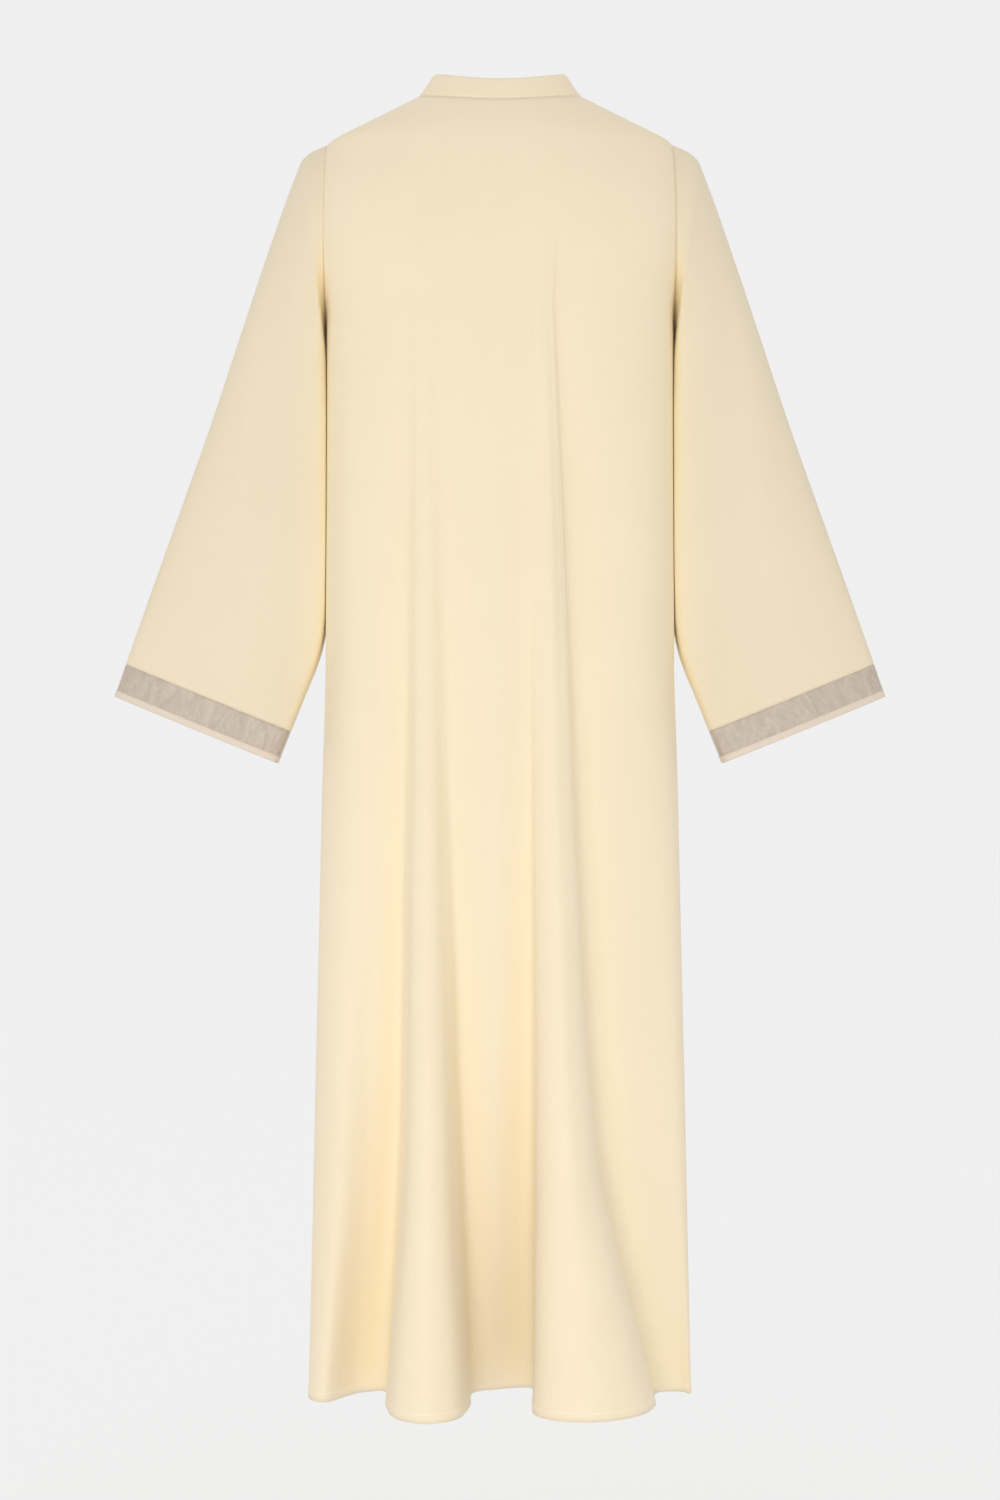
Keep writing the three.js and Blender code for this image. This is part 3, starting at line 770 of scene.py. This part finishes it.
@dataclass(frozen=True)
class OrganzaFinish:
    """Crushed organza over the sleeve's own cloth: a thin, crisp, slightly shiny weave whose crushed
    yarns show as fine uneven streaks, with a paler turned hem where it lies double."""

    name: str = "crushed organza, warm grey"
    light: str = "C3B5A5"
    deep: str = "A99A8D"
    hem: str = "D2C3B2"
    roughness: float = 0.45
    thread_mm: float = 1.4  # the threads lie 0.3 mm apart; drawn coarser, so that they show
    crush_mm: float = 9.0
    crush_stretch: float = 0.35  # the streaks run down the band, about three times as long as wide
    pattern_turn: float = 0.35  # in radians; picks the part of the noise and doesn't slant the streaks
    thread_weight: float = 0.35  # of the threads beside the crushed streaks
    deep_at: float = 0.42  # the pattern's value at the deep colour and at the light one
    light_at: float = 0.92

    def build(self) -> bpy.types.Material:
        """Makes the material.

        Returns:
            The material.
        """
        material = bpy.data.materials.new(self.name)
        material.use_nodes = True
        tree = material.node_tree
        shader = tree.nodes["Principled BSDF"]
        cloth = add_node(tree, "ShaderNodeUVMap", {"uv_map": "cloth"})
        stretch = add_node(
            tree, "ShaderNodeMapping", Vector=cloth.outputs["UV"], Scale=(1.0, self.crush_stretch, 1.0),
            Rotation=(0.0, 0.0, self.pattern_turn),
        )
        crush = add_node(
            tree, "ShaderNodeTexNoise", Vector=stretch.outputs[0], Scale=1 / (self.crush_mm * MM), Detail=6.0,
            Roughness=0.6, Distortion=1.2,
        )
        thread = add_node(
            tree, "ShaderNodeTexNoise", Vector=stretch.outputs[0], Scale=1 / (self.thread_mm * MM), Detail=2.0
        )
        mixed = add_node(
            tree, "ShaderNodeMath", {"operation": "MULTIPLY_ADD"}, i0=thread.outputs[0],
            i1=self.thread_weight, i2=crush.outputs[0],
        )
        share = add_node(
            tree, "ShaderNodeMapRange", Value=mixed.outputs[0], From_Min=self.deep_at,
            From_Max=self.light_at,
        )
        colour = add_node(
            tree, "ShaderNodeMix", {"data_type": "RGBA"}, Factor=share.outputs[0], i6=linear(self.deep),
            i7=linear(self.light),
        )
        strip = add_node(tree, "ShaderNodeAttribute", {"attribute_name": "strip"})
        hemmed = add_node(
            tree, "ShaderNodeMix", {"data_type": "RGBA"}, Factor=strip.outputs["Fac"], i6=colour.outputs[2],
            i7=linear(self.hem),
        )
        bump = add_node(tree, "ShaderNodeBump", Height=mixed.outputs[0], Strength=0.4, Distance=0.0008)
        tree.links.new(hemmed.outputs[2], shader.inputs["Base Color"])
        tree.links.new(bump.outputs[0], shader.inputs["Normal"])
        shader.inputs["Roughness"].default_value = self.roughness
        shader.inputs["Sheen Weight"].default_value = 0.25
        shader.inputs["Sheen Roughness"].default_value = 0.35
        return material


@dataclass(frozen=True)
class ThreadFinish:
    """Polyester sewing thread, spun and dyed to match: a little smoother and lighter than the cloth."""

    name: str
    colour: str
    roughness: float = 0.5
    twist_mm: float = 0.4

    def build(self) -> bpy.types.Material:
        """Makes the material.

        Returns:
            The material.
        """
        material = bpy.data.materials.new(self.name)
        material.use_nodes = True
        tree = material.node_tree
        shader = tree.nodes["Principled BSDF"]
        place = add_node(tree, "ShaderNodeTexCoord")
        twist = add_node(
            tree, "ShaderNodeTexNoise", Vector=place.outputs["Object"], Scale=1 / (self.twist_mm * MM),
            Detail=1.0,
        )
        bump = add_node(tree, "ShaderNodeBump", Height=twist.outputs[0], Strength=0.4, Distance=0.0001)
        tree.links.new(bump.outputs[0], shader.inputs["Normal"])
        shader.inputs["Base Color"].default_value = linear(self.colour)
        shader.inputs["Roughness"].default_value = self.roughness
        return material


@dataclass(frozen=True)
class PaperFinish:
    """Matt studio paper: an even, pale grey ground without gloss."""

    name: str = "studio paper, pale grey"
    colour: str = "F5F5F5"

    def build(self) -> bpy.types.Material:
        """Makes the material.

        Returns:
            The material.
        """
        material = bpy.data.materials.new(self.name)
        material.use_nodes = True
        shader = material.node_tree.nodes["Principled BSDF"]
        shader.inputs["Base Color"].default_value = linear(self.colour)
        shader.inputs["Roughness"].default_value = 1.0
        shader.inputs["Specular IOR Level"].default_value = 0.0
        return material


# ---- Stitches -------------------------------------------------------------------------------------------
class StitchMaker:
    """Sews a row of stitches along a line on the cloth with a node tree: one small thread bead for each."""

    LINE_INPUTS = (("Pitch", BODY_PITCH), ("Stitch length", 2.5), ("Thread radius", 0.24))

    def __init__(self, thread: bpy.types.Material) -> None:
        """Builds the node tree for one thread.

        Args:
            thread: the material of the stitches.
        """
        self.tree = bpy.data.node_groups.new(f"stitches, {thread.name}", "GeometryNodeTree")
        tree = self.tree
        tree.interface.new_socket("Geometry", in_out="INPUT", socket_type="NodeSocketGeometry")
        self.sockets = {}
        for name, size in self.LINE_INPUTS:
            socket = tree.interface.new_socket(name, in_out="INPUT", socket_type="NodeSocketFloat")
            socket.default_value = size * MM
            self.sockets[name] = socket.identifier
        tree.interface.new_socket("Geometry", in_out="OUTPUT", socket_type="NodeSocketGeometry")
        given = add_node(tree, "NodeGroupInput")
        line = add_node(tree, "GeometryNodeMeshToCurve", i0=given.outputs["Geometry"])
        even = add_node(
            tree, "GeometryNodeResampleCurve", {"mode": "LENGTH"}, Curve=line.outputs[0],
            Length=given.outputs["Pitch"],
        )
        tangent = add_node(tree, "GeometryNodeInputTangent")
        turn = add_node(tree, "FunctionNodeAlignRotationToVector", {"axis": "Z"}, Vector=tangent.outputs[0])
        bead = add_node(
            tree, "GeometryNodeMeshUVSphere", Segments=6, Rings=4, Radius=given.outputs["Thread radius"]
        )
        ratio = add_node(
            tree, "ShaderNodeMath", {"operation": "DIVIDE"}, i0=given.outputs["Stitch length"],
            i1=given.outputs["Thread radius"],
        )
        half = add_node(tree, "ShaderNodeMath", {"operation": "MULTIPLY"}, i0=ratio.outputs[0], i1=0.5)
        scale = add_node(tree, "ShaderNodeCombineXYZ", X=1.0, Y=1.0, Z=half.outputs[0])
        placed = add_node(
            tree, "GeometryNodeInstanceOnPoints", Points=even.outputs[0], Instance=bead.outputs[0],
            Rotation=turn.outputs[0], Scale=scale.outputs[0],
        )
        real = add_node(tree, "GeometryNodeRealizeInstances", Geometry=placed.outputs[0])
        dressed = add_node(tree, "GeometryNodeSetMaterial", Geometry=real.outputs[0], Material=thread)
        add_node(tree, "NodeGroupOutput", i0=dressed.outputs[0])

    def sew(self, name: str, lines: list[np.ndarray], pitch: float = BODY_PITCH) -> bpy.types.Object:
        """Sews stitches along some lines.

        Args:
            name: the piece's name.
            lines: the points of each line, in millimetres.
            pitch: from one stitch to the next, in millimetres.

        Returns:
            The stitches as one plain mesh.
        """
        points = np.concatenate(lines) * MM
        edges, start = [], 0
        for line in lines:
            edges += [(start + i, start + i + 1) for i in range(len(line) - 1)]
            start += len(line)
        path = bpy.data.meshes.new(f"{name} line")
        path.from_pydata(points.tolist(), edges, [])
        holder = bpy.data.objects.new(name, path)
        bpy.context.scene.collection.objects.link(holder)
        sewing = holder.modifiers.new("stitches", "NODES")
        sewing.node_group = self.tree
        sewing[self.sockets["Pitch"]] = pitch * MM
        evaluated = holder.evaluated_get(bpy.context.evaluated_depsgraph_get())
        mesh = bpy.data.meshes.new_from_object(evaluated)
        mesh.name = name
        holder.modifiers.remove(sewing)
        holder.data = mesh
        bpy.data.meshes.remove(path)
        mesh.polygons.foreach_set("use_smooth", [True] * len(mesh.polygons))
        return holder


# ---- Pieces ----------------------------------------------------------------------------------------------
@dataclass
class BodyPanel:
    """One panel of the body: the back, or one of the two fronts."""

    name: str
    side: Side
    folds: tuple[Fold, ...]
    start_share: float
    end_share: float | None  # None where the panel ends in its front edge
    is_reversed: bool = False
    seed: int = 1
    column_mm: float = 5.2  # the grid's spacing along the hem
    neck_rows: int = 9
    armhole_rows: int = 30
    skirt_rows: int = 168
    thickness: float = 0.9
    hem_lift: float = 0.55  # how far the turned hem stands out
    hem_rise: tuple[float, float] = (3.0, 2.0)  # over this far above and below its upper edge
    seam_pull: float = 0.3  # how far a seam draws the cloth in
    seam_reach: float = 3.0
    unevenness: float = 0.5  # of the hanging cloth
    form: BodyForm = field(default_factory=BodyForm)

    def line_point(
        self, share: float, neck: float, row_z: float, fold: Fold | None
    ) -> tuple[float, float, float]:
        """A point of one line down the cloth, on the row that starts at height row_z.

        Args:
            share: the line's angle at the underarm over that of the side seam.
            neck: the height at which the line meets the neck edge.
            row_z: the row's height away from the neck.
            fold: the fold that the line follows, or None along a seam.

        Returns:
            The point, in millimetres.
        """
        z = row_z + neck * max(0.0, 1 + row_z / NECK_FADE)
        section = self.form.section(self.side, z)
        if fold and z < UNDERARM_Z:
            place = SmoothColumn([UNDERARM_Z, KNEE_Z, HEM_Z], [fold.bust, fold.knee, fold.hem])
            turn = section.turn_at(place.at(z))
        else:
            turn = section.squeezed_turn(share)
        x, y = section.point(self.side.value, turn)
        growth = max(0.0, (FOLD_START_Z - z) / (FOLD_START_Z - HEM_Z))
        out = fold.out * growth**fold.power if fold else 0.0
        return x, y + self.side.value * (out + SEAM_GAP / 2), z

    def levels(self) -> list[float]:
        """The heights of the rows, drawn together at the ends of the armhole.

        Returns:
            The heights, from the neck down.
        """
        heights = [0.0]
        for end, rows, ease in (
            (-SHOULDER_DROP, self.neck_rows, 0.0),
            (UNDERARM_Z, self.armhole_rows, 0.5),
            (HEM_Z, self.skirt_rows, 0.0),
        ):
            start = heights[-1]
            for row in range(1, rows + 1):
                even = row / rows
                drawn_in = (1 - math.cos(math.pi * even)) / 2
                heights.append(start + (end - start) * (even + (drawn_in - even) * ease))
        return heights

    def grid(self) -> ClothGrid:
        """Lays the panel's grid on the form of its solid.

        Returns:
            The grid, before its creases.
        """
        underarm = self.form.section(self.side, UNDERARM_Z)
        lines: list[tuple[float, Fold | None]] = [(self.start_share, None)]
        lines += [(underarm.turn_at(fold.bust) / RIGHT_ANGLE, fold) for fold in self.folds]
        if self.end_share is not None:
            lines.append((self.end_share, None))
        necks = [self.form.neck_height(self.side, share) for share, _ in lines]
        rows = [
            np.array([self.line_point(share, neck, z, fold) for (share, fold), neck in zip(lines, necks)])
            for z in self.levels()
        ]
        stops = []
        for i, span in enumerate(np.linalg.norm(np.diff(rows[-1], axis=0), axis=1)):
            count = max(2, round(span / self.column_mm))
            stops += [i + j / count for j in range(count)]
        stops.append(len(lines) - 1)
        points = np.array([curve_through(row, np.array(stops, float)) for row in rows])
        return ClothGrid(points[:, ::-1] if self.is_reversed else points)

    def build(self, finish: bpy.types.Material) -> tuple[bpy.types.Object, ClothGrid]:
        """Makes the panel with its creases, seams and hem.

        Args:
            finish: its material.

        Returns:
            The piece and its grid, which the stitches and the collar follow.
        """
        grid = self.grid()
        grid.carve(CREASES)
        grid.settle(self.seed, self.unevenness)
        across, down = grid.across(), grid.down()
        edge = np.minimum(across, across[:, -1:] - across)
        at_sides, at_top = (np.exp(-((distance / self.seam_reach) ** 2)) for distance in (edge, down))
        pulled = -self.seam_pull * at_sides - self.seam_pull * at_top
        to_hem = down[-1] - down
        above, below = self.hem_rise
        turned = self.hem_lift * smoothstep(HEM_WIDTH + above, HEM_WIDTH - below, to_hem)
        grid.move_out(pulled + turned)
        return grid.build(self.name, finish, self.thickness), grid


@dataclass
class Sleeve:
    """A wide set-in sleeve with its sheer band."""

    side_name: str
    mirror: int
    seed: int = 5
    sides: int = 104
    rows_per_ring: int = 9
    thickness: float = 0.9
    band_rows: int = 30
    band_tuck: float = 2.4  # how far the band reaches up inside the end of the sleeve
    band_strip: float = 8.0
    inner_squaring: float = 0.65  # how much flatter than the rest the side towards the body is
    squared_at: float = 1.1  # the pointing of the ring from which on it is as flat as that
    side_from: float = 165.0  # how far out the side of the body begins
    softness: float = 0.7  # rounds the bend where the cloth begins to lie against the body
    clearance: float = 0.6  # between the sleeve and the side of the body that it lies against
    tuck: float = 3.0  # how far the sleeve's head reaches in under the edge of the armhole
    head_pull: float = 0.8  # how far the armhole seam draws the sleeve's head in
    end_pull: float = 0.25  # how far the band's seam draws the sleeve's end in
    end_reach: float = 2.5
    strip_lift: float = 0.5  # how far the band's turned hem stands out
    strip_rise: float = 1.0  # over this far above and below its upper edge
    band_sink: float = 1.3  # how far the tucked edge of the band lies in
    sink_range: tuple[float, float] = (1.6, 0.6)  # in tucks from that edge: not sunk, fully sunk
    unevenness: float = 0.5  # of the hanging cloth

    def ring_points(self, ring: Ring) -> np.ndarray:
        """Lays the points of one ring round its two ends.

        Args:
            ring: the ring, from the table or between two of its rows.

        Returns:
            The points on the outside of the cloth, from the outer one round the back.
        """
        outer, inner = np.array(ring.outer), np.array(ring.inner)
        turn = 2 * math.pi * np.arange(self.sides) / self.sides
        sine = np.sin(turn)
        points = (outer + inner) / 2 + np.outer(np.cos(turn), (outer - inner) / 2)
        # beside the body the cloth lies flatter, up to the side seam
        flat = smoothstep(ARMHOLE_POINTING, self.squared_at, np.array(ring.pointing))
        beside = self.inner_squaring * flat
        power = ring.pointing * np.where(np.cos(turn) < 0, 1 - beside, 1.0)
        points[:, 1] += ring.half_depth * np.sign(sine) * np.abs(sine) ** power
        points[:, 0] *= self.mirror
        return points

    def lean_on(self, points: np.ndarray, panels: tuple[ClothGrid, ClothGrid]) -> None:
        """Lays the underarm of the sleeve against the side of the body.

        Args:
            points: the sleeve's points, which it changes.
            panels: the back panel and the front panel of this side.
        """
        below = points[:, :, 2] < UNDERARM_Z
        for panel, facing in zip(panels, (Side.BACK.value, Side.FRONT.value)):
            heights = panel.points[:, :, 2].mean(axis=1)
            for i, j in np.argwhere(below & (points[:, :, 1] * facing >= 0)):
                x, y, z = points[i, j]
                row = panel.points[len(heights) - np.searchsorted(heights[::-1], z) - 1]
                side = row[row[:, 0] * self.mirror > self.side_from]
                order = np.argsort(side[:, 1] * facing)
                wall = np.interp(y * facing, side[order, 1] * facing, side[order, 0] * self.mirror)
                over = x * self.mirror - (wall + self.clearance)
                points[i, j, 0] += self.mirror * (math.hypot(over, self.softness) - over) / 2

    def outward(self, rows: np.ndarray) -> ClothGrid:
        """The rows as a tube whose outside faces out."""
        return ClothGrid(rows if self.mirror > 0 else rows[:, ::-1], is_tube=True)

    def sleeve_grid(self) -> ClothGrid:
        """Lays the sleeve's grid through the rings of its table.

        Returns:
            The grid, from the armhole to the seam of the band.
        """
        table = np.array(
            [[*ring.outer, *ring.inner, ring.half_depth, ring.pointing] for ring in SLEEVE_RINGS]
        )
        stops = np.linspace(0, len(table) - 1, (len(table) - 1) * self.rows_per_ring + 1)
        smooth = curve_through(table, stops)
        rings = [Ring(tuple(row[:3]), tuple(row[3:6]), row[6], row[7]) for row in smooth]
        rows = [self.ring_points(ring) for ring in rings]
        middle = rows[0].mean(axis=0)
        tucked = middle + (rows[0] - middle) * (1 - self.tuck / ARMHOLE_DEPTH)
        tucked[:, 0] -= self.mirror * self.tuck
        return self.outward(np.array([tucked, *rows]))

    def band_grid(self) -> ClothGrid:
        """Lays the band's grid straight from the sleeve's last ring to its own end.

        Returns:
            The grid, from its tucked edge to its hem.
        """
        seam, end = SLEEVE_RINGS[-1], SLEEVE_BAND_END
        first = -self.band_tuck / math.dist(seam.outer, end.outer)
        start, stop = self.ring_points(seam), self.ring_points(end)
        shares = np.linspace(first, 1.0, self.band_rows)
        return self.outward(np.array([start * (1 - share) + stop * share for share in shares]))

    def build(
        self, crepe: bpy.types.Material, organza: bpy.types.Material, panels: tuple[ClothGrid, ClothGrid]
    ) -> tuple[bpy.types.Object, bpy.types.Object, ClothGrid]:
        """Makes the sleeve and its band.

        Args:
            crepe: the sleeve's material.
            organza: the band's material.
            panels: the back panel and the front panel that the sleeve lies against.

        Returns:
            The sleeve, the band, and the band's grid.
        """
        sleeve = self.sleeve_grid()
        sleeve.carve(CREASES)
        sleeve.settle(self.seed, self.unevenness)
        self.lean_on(sleeve.points, panels)
        down = sleeve.down()
        to_end = down[-1] - down
        at_head = np.exp(-((down / self.tuck) ** 2))
        at_end = np.exp(-((to_end / self.end_reach) ** 2))
        sleeve.move_out(-self.head_pull * at_head - self.end_pull * at_end)
        band = self.band_grid()
        down = band.down()
        to_hem = down[-1] - down
        top, bottom = self.band_strip + self.strip_rise, self.band_strip - self.strip_rise
        turned = self.strip_lift * smoothstep(top, bottom, to_hem)
        sunk = self.band_sink * smoothstep(*self.sink_range, down / self.band_tuck)
        band.move_out(turned - sunk)
        return (
            sleeve.build(f"sleeve_{self.side_name}_cloth", crepe, self.thickness),
            band.build(f"cuff_{self.side_name}_band", organza, self.thickness, self.band_strip),
            band,
        )


@dataclass
class Collar:
    """A low band collar, interfaced, that stands on the neck seam and is open at the front."""

    height_back: float = 24.0
    height_side: float = 25.0
    top_share: float = 0.806  # the top edge's size over that of the neck edge
    top_share_back: float = 0.84
    front_edge: float = 1.5  # from the centre front to the collar's two ends
    rows: int = 26
    thickness: float = 1.1
    tuck: float = 1.2  # how far its foot reaches down behind the neck edge
    ridge_place: float = 4.4  # from the foot up to the ridge of the neck seam
    ridge_reach: float = 1.5
    ridge_lift: float = 0.4
    foot_pull: float = 1.2  # how far the foot is drawn in
    foot_reach: float = 0.9
    roll: float = 0.8  # how far the top edge rolls in
    roll_reach: float = 1.6

    def grid(self, neck_edges: list[np.ndarray]) -> ClothGrid:
        """Lays the collar's grid on the neck edges of the three panels.

        Args:
            neck_edges: the first row of each panel, from the left front edge round the back.

        Returns:
            The grid, from its top edge down to its foot.
        """
        foot = np.concatenate([neck_edges[0]] + [edge[1:] for edge in neck_edges[1:]])
        base = foot - np.array([0.0, 0.0, self.tuck])
        backness = np.maximum(0.0, foot[:, 1] / NECK_REACH[Side.BACK]) ** 2
        height = self.height_side + (self.height_back - self.height_side) * backness
        share = self.top_share + (self.top_share_back - self.top_share) * backness
        is_end = np.abs(foot[:, 0]) <= self.front_edge + 0.01
        top_x = np.where(is_end, foot[:, 0], foot[:, 0] * share)
        top = np.stack([top_x, foot[:, 1] * share, foot[:, 2] + height], axis=1)
        shares = np.linspace(0.0, 1.0, self.rows)[:, None, None]
        return ClothGrid(top * (1 - shares) + base * shares)

    def build(
        self, neck_edges: list[np.ndarray], finish: bpy.types.Material
    ) -> tuple[bpy.types.Object, ClothGrid]:
        """Makes the collar with its rolled top edge and the ridge of its neck seam.

        Args:
            neck_edges: the first row of each panel, from the left front edge round the back.
            finish: its material.

        Returns:
            The piece and its grid.
        """
        grid = self.grid(neck_edges)
        down = grid.down()
        to_foot = down[-1] - down
        at_ridge = np.exp(-(((to_foot - self.ridge_place) / self.ridge_reach) ** 2))
        at_foot = np.exp(-((to_foot / self.foot_reach) ** 2))
        at_top = np.exp(-((down / self.roll_reach) ** 2))
        grid.move_out(self.ridge_lift * at_ridge - self.foot_pull * at_foot - self.roll * at_top)
        return grid.build("collar_band", finish, self.thickness), grid


# ---- Studio ----------------------------------------------------------------------------------------------
@dataclass(frozen=True)
class Lamp:
    """A soft light that faces the garment: its centre and its size in metres, its power in watts."""

    name: str
    place: tuple[float, float, float]
    width: float
    height: float
    power: float


LAMPS = (
    Lamp("low front", (0.15, 2.4, -1.6), 1.4, 0.6, 18.5),
    Lamp("key", (1.2, 2.7, -0.4), 1.2, 1.4, 5.0),
)


@dataclass
class Studio:
    """A pale floor, even light from all round, the lamps and the camera."""

    distance: float = 2.6
    eye_z: float = -0.703
    seen_height: float = 1.62
    sensor_width: float = 36.0  # of the camera, in millimetres
    floor_z: float = -1.75
    floor_radius: float = 30.0
    around: float = 0.95  # the strength of the even light

    def build_camera(self) -> None:
        """Puts the camera level behind the garment, looking at its back."""
        lens = bpy.data.cameras.new("camera")
        lens.sensor_width = self.sensor_width
        lens.lens = lens.sensor_width * self.distance / self.seen_height
        camera = bpy.data.objects.new("camera", lens)
        camera.location = (0.0, self.distance, self.eye_z)
        camera.rotation_euler = (RIGHT_ANGLE, 0.0, math.pi)
        bpy.context.scene.collection.objects.link(camera)
        bpy.context.scene.camera = camera

    def build_lamp(self, lamp: Lamp) -> None:
        """Adds one lamp, turned towards the middle of the garment.

        Args:
            lamp: its name, place, size and power.
        """
        data = bpy.data.lights.new(lamp.name, "AREA")
        data.shape = "RECTANGLE"
        data.size = lamp.width
        data.size_y = lamp.height
        data.energy = lamp.power
        light = bpy.data.objects.new(lamp.name, data)
        light.location = lamp.place
        light.visible_camera = False
        away = np.array(lamp.place) - (0.0, 0.0, self.eye_z)
        tilt = math.atan2(math.hypot(away[0], away[1]), away[2])
        light.rotation_euler = (tilt, 0.0, math.atan2(away[0], -away[1]))
        bpy.context.scene.collection.objects.link(light)

    def build(self) -> None:
        """Makes the floor, the lights, the surroundings and the camera."""
        scene = bpy.context.scene
        scene.view_settings.view_transform = "Standard"
        paper = PaperFinish()
        bpy.ops.mesh.primitive_circle_add(
            vertices=96, radius=self.floor_radius, fill_type="NGON", location=(0.0, 0.0, self.floor_z)
        )
        floor = bpy.context.object
        floor.name = "floor"
        floor.data.materials.append(paper.build())
        world = bpy.data.worlds.new("studio")
        world.use_nodes = True
        scene.world = world
        tree = world.node_tree
        light = tree.nodes["Background"]
        light.inputs["Color"].default_value = (1.0, 1.0, 1.0, 1.0)
        light.inputs["Strength"].default_value = self.around
        # seen directly, the surroundings are as bright as the lit paper, so that no horizon shows
        seen = add_node(tree, "ShaderNodeBackground", Color=linear(paper.colour), Strength=self.around)
        path = add_node(tree, "ShaderNodeLightPath")
        both = add_node(
            tree, "ShaderNodeMixShader", Fac=path.outputs["Is Camera Ray"], i1=light.outputs[0],
            i2=seen.outputs[0],
        )
        tree.links.new(both.outputs[0], tree.nodes["World Output"].inputs["Surface"])
        for lamp in LAMPS:
            self.build_lamp(lamp)
        self.build_camera()


# ---- Assembly --------------------------------------------------------------------------------------------
def finish_piece(piece: bpy.types.Object, node: str | None) -> None:
    """Puts a piece on the body, in place of its solid.

    Args:
        piece: the piece.
        node: the solid that it replaces, or None for a row of stitches.
    """
    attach(piece, "root")
    if node:
        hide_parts(node)
    LOG.info("%s: %d faces", piece.name, len(piece.data.polygons))


def lifted(line: tuple[np.ndarray, np.ndarray], height: float = 0.1) -> np.ndarray:
    """A line on the cloth, lifted off it a little along the outward direction."""
    points, directions = line
    return points + directions / np.linalg.norm(directions, axis=1, keepdims=True) * height


def main() -> None:
    """Builds the studio and every piece of the abaya, in the order in which it is sewn."""
    logging.basicConfig(level=logging.INFO, format="%(name)s: %(message)s")
    Studio().build()
    crepe = CrepeFinish().build()
    # painted shade: the sleeves get a copy of the body's crepe a shade deeper, standing in for the dimmer
    # light they hang in
    painted_shade_crepe = CrepeFinish("polyester crepe, cream, painted shade copy", "E0D3B9", "DBCCB0").build()
    organza = OrganzaFinish().build()
    cream = StitchMaker(ThreadFinish("sewing thread, cream", "FBF0D8").build())
    grey = StitchMaker(ThreadFinish("sewing thread, warm grey", "CDBDA8").build())

    back, back_grid = BodyPanel("back_panel", Side.BACK, BACK_FOLDS, 1.0, -1.0, seed=3).build(crepe)
    left, left_grid = BodyPanel(
        "front_left_panel", Side.FRONT, FRONT_LEFT_FOLDS, 1.0, None, is_reversed=True, seed=11
    ).build(crepe)
    right, right_grid = BodyPanel(
        "front_right_panel", Side.FRONT, FRONT_RIGHT_FOLDS, -1.0, None, seed=17
    ).build(crepe)
    panels = (
        ("back", back, back_grid, None),
        ("front_left", left, left_grid, False),
        ("front_right", right, right_grid, True),
    )
    for node, piece, grid, edge_is_last in panels:
        finish_piece(piece, node)
        lines = [lifted(grid.row_at(HEM_WIDTH))]
        if edge_is_last is not None:
            lines.append(lifted(grid.column_at(FRONT_EDGE_STITCH, edge_is_last)))
        stitches = cream.sew(f"{node}_hem_stitches", lines)
        finish_piece(stitches, None)

    for side_name, mirror, seed, front_grid in (("left", 1, 23, left_grid), ("right", -1, 29, right_grid)):
        sleeve, band, band_grid = Sleeve(side_name, mirror, seed).build(
            painted_shade_crepe, organza, (back_grid, front_grid)
        )
        finish_piece(sleeve, f"sleeve_{side_name}")
        finish_piece(band, f"cuff_{side_name}")
        line = lifted(band_grid.row_at(BAND_STITCH))
        stitches = grey.sew(f"cuff_{side_name}_hem_stitches", [line], FINE_PITCH)
        finish_piece(stitches, None)

    necks = [left_grid.points[0], back_grid.points[0], right_grid.points[0]]
    collar, collar_grid = Collar().build(necks, crepe)
    finish_piece(collar, "collar")
    stitches = cream.sew("collar_stitches", [lifted(collar_grid.row_at(COLLAR_STITCH))], FINE_PITCH)
    finish_piece(stitches, None)


if __name__ == "__main__":
    main()
